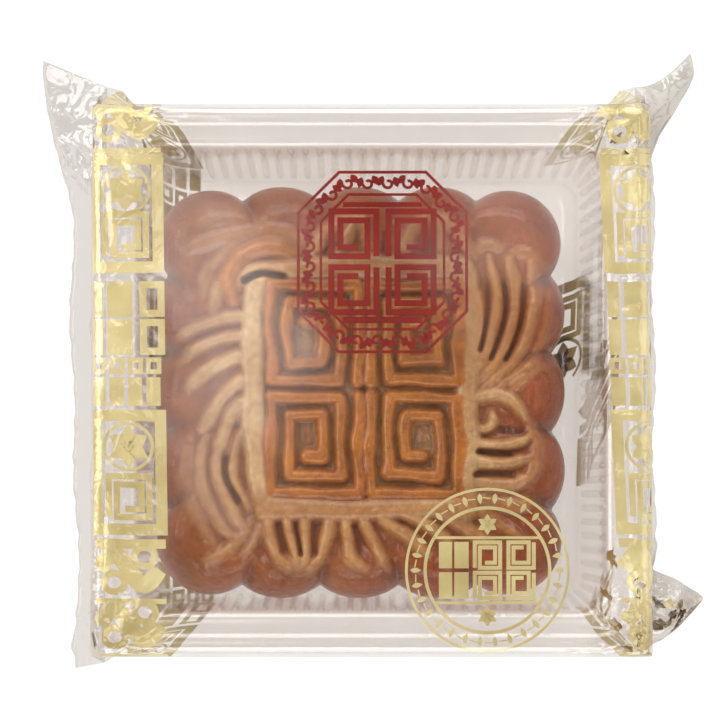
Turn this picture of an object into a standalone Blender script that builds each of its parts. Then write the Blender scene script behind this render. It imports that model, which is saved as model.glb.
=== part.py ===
"""Sealed clear bag round a boxed square mooncake, as one closed solid.

The bag is a tube of film, pulled tight over an open square tray and pressed
flat into a seal fin at each end. The solid is lofted from closed loops, set
one after another along X, from the edge of the left fin to the edge of the
right one. Each loop has a row of points along the top sheet, one along the
bottom sheet and a column down each side. A fin's loop is too thin for columns.

X is the long way of the bag, through both seals. Y is across it, +Z is up, and
the origin is at the centre of the flat underside.
"""

import math

import bmesh
import bpy

MM = 0.001

# The filled tube of film
RIM_HALF_X = 51.2 * MM
RIM_HALF_Y = 50.5 * MM
FLOOR_HALF_X = 42.6 * MM
FLOOR_HALF_Y = 42.0 * MM
TOP_Z = 38.6 * MM
TOP_BULGE = 0.9 * MM
RIM_RADIUS = 2.6 * MM
FLOOR_RADIUS = 2.2 * MM

# The seal fins
SEAL_Z = 19.0 * MM
FIN_BASE_X = 49.8 * MM
FIN_WIDTH = 11.6 * MM
FIN_THICKNESS = 0.8 * MM
END_BULGE = 0.9 * MM
FLARE_START_X = 28.0 * MM
FLARE_POWER = 3.0

# A fin's foot and its free edge run from a low Y to a high Y, and the flare is
# how far the side walls swing out to meet them. The fin hangs down, apart from
# its ears, which stand out: each is (centre Y, half width, more lean, more width).
LEFT_FIN = {
    "side": -1.0,
    "foot_y": (-52.4 * MM, 55.9 * MM),
    "edge_y": (-54.0 * MM, 59.5 * MM),
    "lean": 4.9 * MM,
    "ears": (
        (60.0 * MM, 30.0 * MM, 5.2 * MM, 0.0),
        (18.0 * MM, 64.0 * MM, 1.4 * MM, 0.0),
        (-50.0 * MM, 6.0 * MM, 0.7 * MM, 0.0),
    ),
    "flare": (4.8 * MM, 10.2 * MM),
}
RIGHT_FIN = {
    "side": 1.0,
    "foot_y": (-49.6 * MM, 55.9 * MM),
    "edge_y": (-42.4 * MM, 61.2 * MM),
    "lean": 4.3 * MM,
    "ears": (
        (60.0 * MM, 17.0 * MM, 5.2 * MM, 0.0),
        (-40.6 * MM, 6.0 * MM, 8.8 * MM, 1.6 * MM),
    ),
    "flare": (2.0 * MM, 10.2 * MM),
}

# How finely the form is cut, and the sharpest turn that is still shaded smooth
ACROSS_STEPS = 34
ARC_STEPS = 3
WALL_STEPS = 4
END_STEPS = 4
FIN_STEPS = 3
FLAT_STATIONS = (0.24, 0.46, 0.64, 0.78, 0.9)
SMOOTH_ANGLE = math.radians(40.0)

FILM_COLOUR = (0.86, 0.83, 0.80, 1.0)
FILM_ROUGHNESS = 0.12


def clear_scene():
    for old in list(bpy.data.objects):
        bpy.data.objects.remove(old, do_unlink=True)


def mix(a, b, t):
    return a + (b - a) * t


def smooth_step(t):
    t = min(max(t, 0.0), 1.0)
    return t * t * (3.0 - 2.0 * t)


def bump(y, centre, half_width):
    """A rounded bump that is 1 at its centre and falls to 0 at its half width."""
    offset = abs(y - centre) / half_width
    return smooth_step(1.0 - offset)


def across(step):
    """Place across the bag, from -1 at one side to 1 at the other."""
    return -1.0 + 2.0 * step / ACROSS_STEPS


def top_height(x, y):
    crown = (1.0 - (x / RIM_HALF_X) ** 2) * (1.0 - (y / RIM_HALF_Y) ** 2)
    return TOP_Z + TOP_BULGE * max(crown, 0.0)


def side_column(reach, rim_drop, flare):
    """Points down one side, from the top sheet's side edge to the bottom sheet's.

    Each point is (part of the way from the rim's X to the floor's, outward Y, Z).
    reach is how far round the end's own rounded edge the loop is, from 0 to 1.
    The rounded edge stops where it meets the slope of a wall that swings out.
    """
    points = []
    lift = FLOOR_RADIUS * (1.0 - math.cos(reach * math.pi / 2.0))
    rim_z = TOP_Z - RIM_RADIUS - rim_drop
    floor_z = FLOOR_RADIUS + lift
    swing = (FLOOR_HALF_Y - RIM_HALF_Y) / 2.0 + flare
    sweep = math.pi / 2.0 - math.atan2(max(swing, 0.0), (rim_z - floor_z) / 2.0)
    for step in range(ARC_STEPS + 1):
        angle = step / ARC_STEPS * sweep
        y = RIM_HALF_Y - RIM_RADIUS * (1.0 - math.sin(angle))
        points.append((0.0, y, rim_z + RIM_RADIUS * math.cos(angle)))
    for step in range(1, WALL_STEPS):
        part = step / WALL_STEPS
        stretch = 1.0 - abs(2.0 * part - 1.0)
        y = mix(RIM_HALF_Y, FLOOR_HALF_Y, part) + flare * stretch
        points.append((part, y, mix(rim_z, floor_z, part)))
    for step in range(ARC_STEPS + 1):
        angle = step / ARC_STEPS * math.pi / 2.0
        y = FLOOR_HALF_Y - FLOOR_RADIUS * (1.0 - math.cos(angle))
        points.append((1.0, y, floor_z - FLOOR_RADIUS * math.sin(angle)))
    return points


def body_loop(rim_x, floor_x, reach, flares):
    """One loop of the filled tube, at rim_x on top and floor_x underneath."""
    rim_drop = RIM_RADIUS * (1.0 - math.cos(reach * math.pi / 2.0))
    lift = FLOOR_RADIUS * (1.0 - math.cos(reach * math.pi / 2.0))
    flat_y = RIM_HALF_Y - RIM_RADIUS
    floor_y = FLOOR_HALF_Y - FLOOR_RADIUS
    top = []
    bottom = []
    for step in range(ACROSS_STEPS + 1):
        w = across(step)
        y = w * flat_y
        top.append((rim_x, y, top_height(rim_x, y) - rim_drop))
        bottom.append((floor_x, w * floor_y, lift))
    edge_z = (top[0][2], top[-1][2])
    sides = []
    for sign, flare, z in zip((-1.0, 1.0), flares, edge_z):
        column = side_column(reach, rim_drop, flare)
        raised = z - (TOP_Z - rim_drop)
        wall = []
        for part, out, height in column[1:-1]:
            fade = 1.0 - part
            wall.append((mix(rim_x, floor_x, part), sign * out, height + raised * fade))
        sides.append(wall)
    return {"top": top, "bottom": bottom, "minus": sides[0], "plus": sides[1]}


def fin_reach(fin, y):
    """How far the fin's edge stands out beyond its foot, and how far it hangs."""
    lean = fin["lean"]
    width = FIN_WIDTH
    for centre, half_width, more_lean, more_width in fin["ears"]:
        lean += more_lean * bump(y, centre, half_width)
        width += more_width * bump(y, centre, half_width)
    drop = math.sqrt(max(width * width - lean * lean, 0.0))
    return lean, drop


def fin_loop(fin, part):
    """One thin loop of a seal fin, from its foot (part 0) to its edge (part 1)."""
    half = FIN_THICKNESS / 2.0
    top = []
    bottom = []
    for step in range(ACROSS_STEPS + 1):
        share = step / ACROSS_STEPS
        edge_y = mix(fin["edge_y"][0], fin["edge_y"][1], share)
        y = mix(mix(fin["foot_y"][0], fin["foot_y"][1], share), edge_y, part)
        lean, drop = fin_reach(fin, edge_y)
        x = FIN_BASE_X + lean * part
        z = SEAL_Z - drop * part
        normal_x = drop / math.hypot(lean, drop)
        normal_z = lean / math.hypot(lean, drop)
        top.append((fin["side"] * (x + normal_x * half), y, z + normal_z * half))
        bottom.append((fin["side"] * (x - normal_x * half), y, z - normal_z * half))
    return {"top": top, "bottom": bottom, "minus": [], "plus": []}


def mix_points(near, far, t):
    return tuple(mix(a, b, t) for a, b in zip(near, far))


def closing_loop(body, foot, part, side):
    """A loop of the end face, part of the way from the rim's loop to the fin's foot.

    The upper half of each side closes on the foot's top corner and the lower half
    on its bottom corner.
    """
    swell = side * END_BULGE * math.sin(part * math.pi)
    loop = {}
    for sheet in ("top", "bottom"):
        row = []
        for step, (near, far) in enumerate(zip(body[sheet], foot[sheet])):
            x, y, z = mix_points(near, far, part)
            row.append((x + swell * (1.0 - across(step) ** 2), y, z))
        loop[sheet] = row
    for name, index in (("minus", 0), ("plus", -1)):
        wall = []
        middle = len(body[name]) // 2
        for step, near in enumerate(body[name]):
            share = 0.5 if step == middle else float(step > middle)
            far = mix_points(foot["top"][index], foot["bottom"][index], share)
            wall.append(mix_points(near, far, part))
        loop[name] = wall
    return loop


def end_flares(fin, x):
    """Outward push of both side walls at mid height, as they near the fin."""
    part = (abs(x) - FLARE_START_X) / (RIM_HALF_X - FLARE_START_X)
    rise = max(part, 0.0) ** FLARE_POWER
    return tuple(amount * rise for amount in fin["flare"])


def end_loops(fin):
    """Loops of one end, from the middle of the bag out to the fin's edge."""
    side = fin["side"]
    flat_rim = RIM_HALF_X - RIM_RADIUS
    flat_floor = FLOOR_HALF_X - FLOOR_RADIUS
    loops = []
    for share in FLAT_STATIONS:
        rim_x = share * flat_rim
        flares = end_flares(fin, rim_x)
        loops.append(body_loop(side * rim_x, side * share * flat_floor, 0.0, flares))
    for step in range(ARC_STEPS + 1):
        reach = step / ARC_STEPS
        turn = math.sin(reach * math.pi / 2.0)
        rim_x = flat_rim + RIM_RADIUS * turn
        floor_x = flat_floor + FLOOR_RADIUS * turn
        flares = end_flares(fin, rim_x)
        loops.append(body_loop(side * rim_x, side * floor_x, reach, flares))
    rim_loop = loops[-1]
    foot_loop = fin_loop(fin, 0.0)
    for step in range(1, END_STEPS):
        loops.append(closing_loop(rim_loop, foot_loop, step / END_STEPS, side))
    for step in range(FIN_STEPS + 1):
        loops.append(fin_loop(fin, step / FIN_STEPS))
    return loops


def bag_loops():
    """All loops from the left fin's edge to the right fin's edge."""
    middle = body_loop(0.0, 0.0, 0.0, (0.0, 0.0))
    return end_loops(LEFT_FIN)[::-1] + [middle] + end_loops(RIGHT_FIN)


def add_sheet(mesh, near, far):
    """Triangles between two rows of a sheet, each cell split along the same diagonal."""
    for step in range(len(near) - 1):
        mesh.faces.new((near[step], near[step + 1], far[step + 1]))
        mesh.faces.new((near[step], far[step + 1], far[step]))


def add_wall(mesh, near, far):
    """Triangles between two side columns, fanned where one is only the fin's end."""
    if len(near) < len(far):
        near, far = far, near
    if len(near) == len(far):
        add_sheet(mesh, near, far)
        return
    middle = len(near) // 2
    for step in range(len(near) - 1):
        corner = far[0] if step < middle else far[-1]
        mesh.faces.new((near[step], near[step + 1], corner))
    mesh.faces.new((near[middle], far[-1], far[0]))


def side_line(loop, name, index):
    """A side column with the ends of both sheets that it joins."""
    return [loop["top"][index], *loop[name], loop["bottom"][index]]


def film_material():
    film = bpy.data.materials.new("clear_film")
    film.use_nodes = True
    shader = film.node_tree.nodes["Principled BSDF"]
    shader.inputs["Base Color"].default_value = FILM_COLOUR
    shader.inputs["Roughness"].default_value = FILM_ROUGHNESS
    shader.inputs["Metallic"].default_value = 0.0
    film.diffuse_color = FILM_COLOUR
    return film


def build_sealed_bag():
    mesh = bmesh.new()
    rings = []
    for loop in bag_loops():
        rings.append({key: [mesh.verts.new(p) for p in points] for key, points in loop.items()})
    for near, far in zip(rings[:-1], rings[1:]):
        for sheet in ("top", "bottom"):
            add_sheet(mesh, near[sheet], far[sheet])
        for name, index in (("minus", 0), ("plus", -1)):
            add_wall(mesh, side_line(near, name, index), side_line(far, name, index))
    for fin_edge in (rings[0], rings[-1]):
        add_sheet(mesh, fin_edge["top"], fin_edge["bottom"])
    bmesh.ops.recalc_face_normals(mesh, faces=mesh.faces[:])
    data = bpy.data.meshes.new("sealed_bag")
    mesh.to_mesh(data)
    mesh.free()
    data.materials.append(film_material())
    data.shade_smooth()
    data.set_sharp_from_angle(angle=SMOOTH_ANGLE)
    bag = bpy.data.objects.new("sealed_bag", data)
    bpy.context.scene.collection.objects.link(bag)
    return bag


def main():
    clear_scene()
    build_sealed_bag()


main()
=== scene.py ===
import math

import bmesh
import bpy
import numpy as np
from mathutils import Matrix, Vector


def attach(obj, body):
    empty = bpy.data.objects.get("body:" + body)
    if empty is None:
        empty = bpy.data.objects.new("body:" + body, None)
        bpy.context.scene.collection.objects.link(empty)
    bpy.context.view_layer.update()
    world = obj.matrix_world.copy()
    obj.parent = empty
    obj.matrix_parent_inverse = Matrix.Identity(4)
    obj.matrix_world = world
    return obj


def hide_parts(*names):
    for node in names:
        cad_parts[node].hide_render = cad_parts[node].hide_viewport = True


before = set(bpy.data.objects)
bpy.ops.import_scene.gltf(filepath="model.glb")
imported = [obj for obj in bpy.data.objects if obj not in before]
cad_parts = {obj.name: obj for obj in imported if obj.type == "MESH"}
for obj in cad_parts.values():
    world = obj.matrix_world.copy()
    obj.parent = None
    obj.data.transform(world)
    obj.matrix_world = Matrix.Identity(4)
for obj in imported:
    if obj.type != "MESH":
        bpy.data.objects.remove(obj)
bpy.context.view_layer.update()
mm = 0.001
quarterTurn = math.pi / 2.0


# objects, and fields over the plan; lengths are in millimetres up to the mesh

def linkObject(name, data):
    thing = bpy.data.objects.new(name, data)
    bpy.context.scene.collection.objects.link(thing)
    return thing


def meshPiece(name, points, faces, material):
    data = bpy.data.meshes.new(name)
    data.from_pydata([tuple(float(c) * mm for c in p) for p in points], [], faces)
    data.validate()
    data.shade_smooth()
    data.materials.append(material)
    return linkObject(name, data)


def facesOut(piece):
    shape = bmesh.new()
    shape.from_mesh(piece.data)
    bmesh.ops.recalc_face_normals(shape, faces=shape.faces[:])
    shape.to_mesh(piece.data)
    shape.free()


def writeMasks(piece, masks):
    for name, values in masks.items():
        layer = piece.data.attributes.new(name, "FLOAT", "POINT")
        layer.data.foreach_set("value", values.astype(np.float32))


def settle(piece, standsFor=None):
    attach(piece, "root")
    if standsFor:
        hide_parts(standsFor)


def smoothStep(low, high, value):
    t = np.clip((value - low) / (high - low), 0.0, 1.0)
    return t * t * (3.0 - 2.0 * t)


def gridFaces(rows, columns, closedColumns=False):
    # quads of a grid of points stored row after row
    faces = []
    for i in range(rows - 1):
        for j in range(columns if closedColumns else columns - 1):
            a, b = i * columns + j, i * columns + (j + 1) % columns
            faces.append((a, b, b + columns, a + columns))
    return faces


def rippleField(x, y, seed, waves=7, shortest=9.0, longest=34.0):
    # smooth uneven surface made from a few plane waves, about -1 to 1
    rng = np.random.default_rng(seed)
    total = np.zeros_like(x)
    for _ in range(waves):
        length = rng.uniform(shortest, longest)
        turn = rng.uniform(0.0, math.pi)
        phase = rng.uniform(0.0, 2.0 * math.pi)
        along = x * math.cos(turn) + y * math.sin(turn)
        total = total + np.sin(2.0 * math.pi * along / length + phase)
    return total / math.sqrt(waves * 2.0)


def segmentReach(x, y, ax, ay, bx, by):
    # share of the way along a straight line, and distance from it
    dx, dy = bx - ax, by - ay
    t = np.clip(((x - ax) * dx + (y - ay) * dy) / (dx * dx + dy * dy), 0.0, 1.0)
    return t, np.hypot(x - ax - t * dx, y - ay - t * dy)


def runLength(points):
    steps = np.linalg.norm(np.diff(points, axis=0), axis=1)
    return np.concatenate([[0.0], np.cumsum(steps)])


def blendPoints(near, far, t):
    return near + (far - near) * t


# node helpers

def put(tree, kind, inputs=None, **settings):
    # adds a node; an input takes a plain value or the output of another node
    node = tree.nodes.new(kind)
    for key, value in settings.items():
        setattr(node, key, value)
    for key, value in (inputs or {}).items():
        if isinstance(value, bpy.types.NodeSocket):
            tree.links.new(value, node.inputs[key])
        else:
            node.inputs[key].default_value = value
    return node


def maskOf(tree, name):
    return put(tree, "ShaderNodeAttribute", attribute_name=name).outputs["Fac"]


def rgba(colour):
    return (*colour, 1.0)


def maths(tree, kind, *values, clamp=False):
    return put(tree, "ShaderNodeMath", dict(enumerate(values)), operation=kind, use_clamp=clamp).outputs[0]


def mixColour(tree, low, high, mask, strength=1.0, mode="MIX"):
    if strength != 1.0:
        mask = maths(tree, "MULTIPLY", mask, strength)
    ends = [rgba(c) if isinstance(c, tuple) else c for c in (low, high)]
    inputs = {0: mask, 6: ends[0], 7: ends[1]}
    return put(tree, "ShaderNodeMix", inputs, data_type="RGBA", blend_type=mode).outputs[2]


def spreadRange(tree, value, low, high):
    return put(tree, "ShaderNodeMapRange", {"Value": value, "To Min": low, "To Max": high}).outputs[0]


def bumpOn(tree, height, strength, depth, normal=None):
    inputs = {"Height": height, "Strength": strength, "Distance": depth * mm}
    if normal:
        inputs["Normal"] = normal
    return put(tree, "ShaderNodeBump", inputs).outputs["Normal"]


def newMaterial(name):
    material = bpy.data.materials.new(name)
    material.use_nodes = True
    material.node_tree.nodes.clear()
    return material, material.node_tree


def showShader(tree, shader):
    put(tree, "ShaderNodeOutputMaterial", {"Surface": shader.outputs[0]})


def addSockets(tree, inputs, outputs):
    for name, kind, value in inputs:
        socket = tree.interface.new_socket(name, in_out="INPUT", socket_type="NodeSocket" + kind)
        if value is not None:
            socket.default_value = value
    for name, kind in outputs:
        tree.interface.new_socket(name, in_out="OUTPUT", socket_type="NodeSocket" + kind)


def makeUnevenGroup():
    # soft blotches and fine grain for any finish: two masks and a height
    tree = bpy.data.node_groups.new("unevenSurface", "ShaderNodeTree")
    addSockets(
        tree,
        [("Blotch Scale", "Float", 60.0), ("Grain Scale", "Float", 900.0), ("Blotch Contrast", "Float", 1.0)],
        [("Blotch", "Float"), ("Grain", "Float"), ("Height", "Float")],
    )
    given = put(tree, "NodeGroupInput").outputs
    spot = put(tree, "ShaderNodeTexCoord").outputs["Object"]
    noises = []
    for scale, detail, rough in (("Blotch Scale", 4.0, 0.55), ("Grain Scale", 5.0, 0.6)):
        inputs = {"Vector": spot, "Scale": given[scale], "Detail": detail, "Roughness": rough}
        noises.append(put(tree, "ShaderNodeTexNoise", inputs).outputs["Fac"])
    blotch, grain = noises
    centred = maths(tree, "SUBTRACT", blotch, 0.5)
    spread = maths(tree, "MULTIPLY_ADD", centred, given["Blotch Contrast"], 0.5, clamp=True)
    height = maths(tree, "MULTIPLY_ADD", grain, 0.35, blotch)
    put(tree, "NodeGroupOutput", {"Blotch": spread, "Grain": grain, "Height": height})
    return tree


unevenGroup = makeUnevenGroup()


def placeUneven(tree, blotchScale, grainScale, contrast):
    node = put(tree, "ShaderNodeGroup", node_tree=unevenGroup)
    node.inputs["Blotch Scale"].default_value = blotchScale
    node.inputs["Grain Scale"].default_value = grainScale
    node.inputs["Blotch Contrast"].default_value = contrast
    return node.outputs


def clearPlastic(name, look):
    # see-through sheet: a tinted clear part with a little haze, and gloss that grows at glancing angles
    material, tree = newMaterial(name)
    spot = put(tree, "ShaderNodeTexCoord").outputs["Object"]
    sag = put(tree, "ShaderNodeTexNoise", {"Vector": spot, "Scale": look["sagScale"], "Detail": 1.0})
    normal = bumpOn(tree, sag.outputs["Fac"], 0.5, look["sagDepth"])
    tint = rgba(look["tint"])
    if "gathered" in look:
        # several layers lie together, and fold sharply, where the mesh carries these masks
        tint = mixColour(tree, look["tint"], look["gathered"], maskOf(tree, "gathered"))
        folds = put(tree, "ShaderNodeTexNoise", {
            "Vector": spot, "Scale": look["foldScale"], "Detail": 1.5, "Roughness": 0.45, "Distortion": 1.4})
        normal = bumpOn(tree, folds.outputs["Fac"], maskOf(tree, "crumple"), look["foldDepth"], normal)
    clear = put(tree, "ShaderNodeBsdfTransparent", {"Color": tint})
    cloud = put(tree, "ShaderNodeBsdfDiffuse", {"Color": rgba(look["hazeTone"])})
    body = put(tree, "ShaderNodeMixShader", {"Fac": look["haze"], 1: clear.outputs[0], 2: cloud.outputs[0]})
    shine = put(tree, "ShaderNodeBsdfPrincipled", {
        "Base Color": rgba(look["gloss"]), "Roughness": look["roughness"], "Metallic": 1.0, "Normal": normal})
    facing = put(tree, "ShaderNodeLayerWeight", {"Blend": 0.32}).outputs["Facing"]
    amount = maths(tree, "MULTIPLY_ADD", facing, look["edgeGain"], look["baseGain"], clamp=True)
    inputs = {"Fac": amount, 1: body.outputs[0], 2: shine.outputs[0]}
    showShader(tree, put(tree, "ShaderNodeMixShader", inputs))
    return material


# film bag: rings of points from the left fin's edge to the right one's

film = {
    "rimHalfX": 51.2,
    "rimHalfY": 50.5,
    "floorHalfX": 42.6,
    "floorHalfY": 42.0,
    "topZ": 38.6,
    "topBulge": 0.9,
    "rimRadius": 2.6,
    "floorRadius": 2.2,
    "sealZ": 19.0,
    "finBaseX": 49.8,
    "finWidth": 11.6,
    "finThickness": 0.3,
    "finCurl": 0.35,
    "finCurlPitch": 0.21,
    "finRoughness": 0.12,
    "finCrumpleReach": 16.0,
    # folds across the fins: pitch, twist, phase, size
    "finFolds": ((1.05, 3.1, 0.0, 1.0), (1.9, -5.0, 1.3, 0.6)),
    "endBulge": 0.9,
    "flareStartX": 28.0,
    "flarePower": 3.0,
    "acrossSteps": 150,
    "arcSteps": 6,
    "wallSteps": 16,
    "flatSteps": 66,
    "endSteps": 16,
    "finSteps": 9,
    # share of the end face's height over which the two sheets part
    "endPinch": (0.35, 0.65),
    # unevenness: height, seed, number, shortest and longest of its waves
    "topRipple": (0.10, 3, 7, 14.0, 60.0),
    "wallRipple": (0.30, 8, 7, 10.0, 30.0),
    "pleats": (0.55, 21, 6, 3.2, 11.0),
    "patches": (0.5, 61, 7, 6.0, 22.0),
    "flatDepth": 1.2,
    "topSheetDepth": (2.0, 0.4),
    # where parts of the film lie: each fades in from its first bound to its second
    "beforeEnds": (51.0, 44.0),
    "beforeSides": (50.0, 44.0),
    "sideWall": (46.0, 50.0),
    "underRim": (36.0, 31.0),
    "overFloor": (2.5, 8.0),
    "endWall": (48.6, 50.6),
    "endUnderRim": (35.5, 30.0),
    "endOverSeal": (19.4, 23.0),
    "pleatFan": (19.0, 36.0),
    "finUnder": (19.3, 17.5),
    "finPast": (50.0, 53.0),
    "frontEar": (-26.0, -38.0),
    "backEar": (36.0, 46.0),
    "towardsEnds": (37.0, 46.0),
    "wideCorner": (18.0, 10.0),
    "tightCorner": (13.0, 6.0),
    # how strongly each part is crumpled, and how thickly its layers gather
    "crumple": {"ends": 0.5, "corners": 0.35, "fins": 0.05, "frontEar": 0.5},
    "gathered": {"corners": 0.3, "fins": 0.30, "frontEar": 0.65, "backEar": 0.5},
    # creases in the top sheet: start x and y, end x and y, half width, height
    "creases": (
        (-49.5, 48.5, -43.0, 33.0, 1.0, 0.68),
        (-49.0, 49.0, -36.0, 41.0, 1.0, 0.59),
        (-48.0, 49.3, -24.0, 46.5, 0.9, 0.42),
        (-50.0, 44.0, -47.5, 20.0, 0.9, 0.59),
        (-49.5, -48.5, -42.0, -36.0, 1.0, 0.59),
        (-49.0, -49.0, -30.0, -44.0, 0.9, 0.42),
        (-50.0, -42.0, -48.0, -15.0, 0.8, 0.51),
        (49.5, 48.5, 42.5, 34.0, 1.0, 0.68),
        (49.0, 49.0, 35.0, 42.5, 1.0, 0.59),
        (48.0, 49.3, 22.0, 46.8, 0.9, 0.37),
        (49.8, 44.0, 46.5, 22.0, 0.9, 0.59),
        (49.5, -48.5, 41.5, -36.0, 1.1, 0.77),
        (49.0, -49.0, 37.0, -41.0, 1.0, 0.68),
        (49.5, -47.0, 45.5, -28.0, 0.9, 0.59),
        (47.0, -49.3, 26.0, -45.5, 0.9, 0.37),
        (41.6, 30.0, 41.2, -12.0, 0.7, 0.62),
        (43.5, 14.0, 50.0, 13.0, 0.8, 0.37),
        (42.5, 4.0, 49.0, 6.0, 0.8, 0.37),
        (43.0, -6.0, 50.0, -5.0, 0.8, 0.42),
        (44.0, -16.0, 50.0, -17.5, 0.8, 0.42),
        (43.0, 24.0, 49.5, 25.0, 0.8, 0.31),
        (-50.0, 12.0, -44.0, 10.0, 0.8, 0.31),
        (-50.0, -4.0, -43.0, -3.0, 0.8, 0.31),
        (-50.0, -20.0, -44.0, -22.0, 0.8, 0.31),
    ),
}
# each ear: place along the fin's edge, half width, more lean, more width
leftFin = {
    "side": -1.0,
    "footY": (-52.4, 55.9),
    "edgeY": (-54.0, 61.4),
    "lean": 6.0,
    "ears": ((60.0, 30.0, 6.4, 1.6), (18.0, 64.0, 1.4, 0.0), (-50.0, 6.0, 0.7, 0.0)),
    "flare": (4.8, 10.2),
    "crumple": 0.1,
    "sweep": 1.0,
}
rightFin = {
    "side": 1.0,
    "footY": (-49.6, 55.9),
    "edgeY": (-42.4, 63.2),
    "lean": 4.3,
    "ears": ((60.0, 17.0, 7.2, 1.5), (-40.6, 6.0, 8.8, 1.6)),
    "flare": (2.0, 10.2),
    "crumple": 0.75,
    "sweep": 1.9,
}
filmLook = {
    "tint": (0.935, 0.92, 0.905),
    "gathered": (0.60, 0.55, 0.49),
    "gloss": (1.0, 0.985, 0.97),
    "roughness": 0.12,
    "edgeGain": 0.17,
    "baseGain": 0.05,
    "sagScale": 55.0,
    "sagDepth": 0.25,
    "foldScale": 240.0,
    "foldDepth": 2.4,
    "haze": 0.002,
    "hazeTone": (0.86, 0.82, 0.79),
}


def easeBump(y, centre, halfWidth):
    return float(smoothStep(0.0, 1.0, 1.0 - abs(y - centre) / halfWidth))


def filmTopHeight(x, y):
    crown = (1.0 - (x / film["rimHalfX"]) ** 2) * (1.0 - (y / film["rimHalfY"]) ** 2)
    return film["topZ"] + film["topBulge"] * np.maximum(crown, 0.0)


def sideColumn(reach, rimDrop, flare):
    # (share of the way from the rim to the floor, outward y, z)
    rimR, floorR = film["rimRadius"], film["floorRadius"]
    rimY, inset = film["rimHalfY"], film["floorHalfY"] - film["rimHalfY"]
    rimZ = film["topZ"] - rimR - rimDrop
    floorZ = floorR + floorR * (1.0 - math.cos(reach * quarterTurn))
    swing = inset / 2.0 + flare
    sweep = quarterTurn - math.atan2(max(swing, 0.0), (rimZ - floorZ) / 2.0)
    column = []
    for step in range(film["arcSteps"] + 1):
        angle = step / film["arcSteps"] * sweep
        column.append((0.0, rimY - rimR * (1.0 - math.sin(angle)), rimZ + rimR * math.cos(angle)))
    for step in range(1, film["wallSteps"]):
        share = step / film["wallSteps"]
        ridge = 1.0 - abs(2.0 * share - 1.0)
        soft = ridge * (1.0 - 0.12 * ridge ** 3)
        column.append((share, rimY + inset * share + flare * soft, rimZ + (floorZ - rimZ) * share))
    for step in range(film["arcSteps"] + 1):
        angle = step / film["arcSteps"] * quarterTurn
        y = film["floorHalfY"] - floorR * (1.0 - math.cos(angle))
        column.append((1.0, y, floorZ - floorR * math.sin(angle)))
    return column


def bodyParts(rimX, floorX, reach, flares):
    # one ring round the bag's body, in four parts
    drop = 1.0 - math.cos(reach * quarterTurn)
    rimDrop, lift = film["rimRadius"] * drop, film["floorRadius"] * drop
    w = np.linspace(-1.0, 1.0, film["acrossSteps"] + 1)
    topY = w * (film["rimHalfY"] - film["rimRadius"])
    topRow = np.stack([np.full_like(w, rimX), topY, filmTopHeight(rimX, topY) - rimDrop], axis=1)
    floorY = w * (film["floorHalfY"] - film["floorRadius"])
    bottomRow = np.stack([np.full_like(w, floorX), floorY, np.full_like(w, lift)], axis=1)
    sides = []
    for sign, flare, z in zip((-1.0, 1.0), flares, (topRow[0][2], topRow[-1][2])):
        raised = z - (film["topZ"] - rimDrop)
        wall = []
        for share, out, height in sideColumn(reach, rimDrop, flare)[1:-1]:
            wall.append((rimX + (floorX - rimX) * share, sign * out, height + raised * (1.0 - share)))
        sides.append(np.array(wall))
    return {"top": topRow, "bottom": bottomRow, "minus": sides[0], "plus": sides[1]}


def finReach(fin, y):
    lean, width = fin["lean"], film["finWidth"]
    for centre, halfWidth, moreLean, moreWidth in fin["ears"]:
        lean += moreLean * easeBump(y, centre, halfWidth)
        width += moreWidth * easeBump(y, centre, halfWidth)
    return lean, math.sqrt(max(width * width - lean * lean, 0.0))


def finParts(fin, part, sideCount):
    # one ring round a fin, part of the way from its foot to its edge
    half = film["finThickness"] / 2.0
    top, bottom = [], []
    for step in range(film["acrossSteps"] + 1):
        share = step / film["acrossSteps"]
        edgeY, footY = (fin[k][0] + (fin[k][1] - fin[k][0]) * share for k in ("edgeY", "footY"))
        y = footY + (edgeY - footY) * part ** fin["sweep"]
        lean, drop = finReach(fin, edgeY)
        curl = film["finCurl"] * math.sin(edgeY * film["finCurlPitch"] + fin["side"]) * part * part
        size = math.hypot(lean, drop)
        nearEar = easeBump(edgeY, fin["edgeY"][0], film["finCrumpleReach"])
        rough = film["finRoughness"] + fin["crumple"] * nearEar
        fold = sum(
            high * math.sin(edgeY * pitch + twist * part + phase)
            for pitch, twist, phase, high in film["finFolds"]
        )
        fold = fold * rough * min(part * 2.0, 1.0)
        x = film["finBaseX"] + lean * part + curl + drop / size * fold
        z = film["sealZ"] - drop * part + lean / size * fold
        top.append((fin["side"] * (x + drop / size * half), y, z + lean / size * half))
        bottom.append((fin["side"] * (x - drop / size * half), y, z - lean / size * half))
    top, bottom = np.array(top), np.array(bottom)
    shares = (np.arange(sideCount) + 1.0) / (sideCount + 1.0)
    minus = np.array([blendPoints(top[0], bottom[0], t) for t in shares])
    plus = np.array([blendPoints(top[-1], bottom[-1], t) for t in shares])
    return {"top": top, "bottom": bottom, "minus": minus, "plus": plus}


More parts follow.
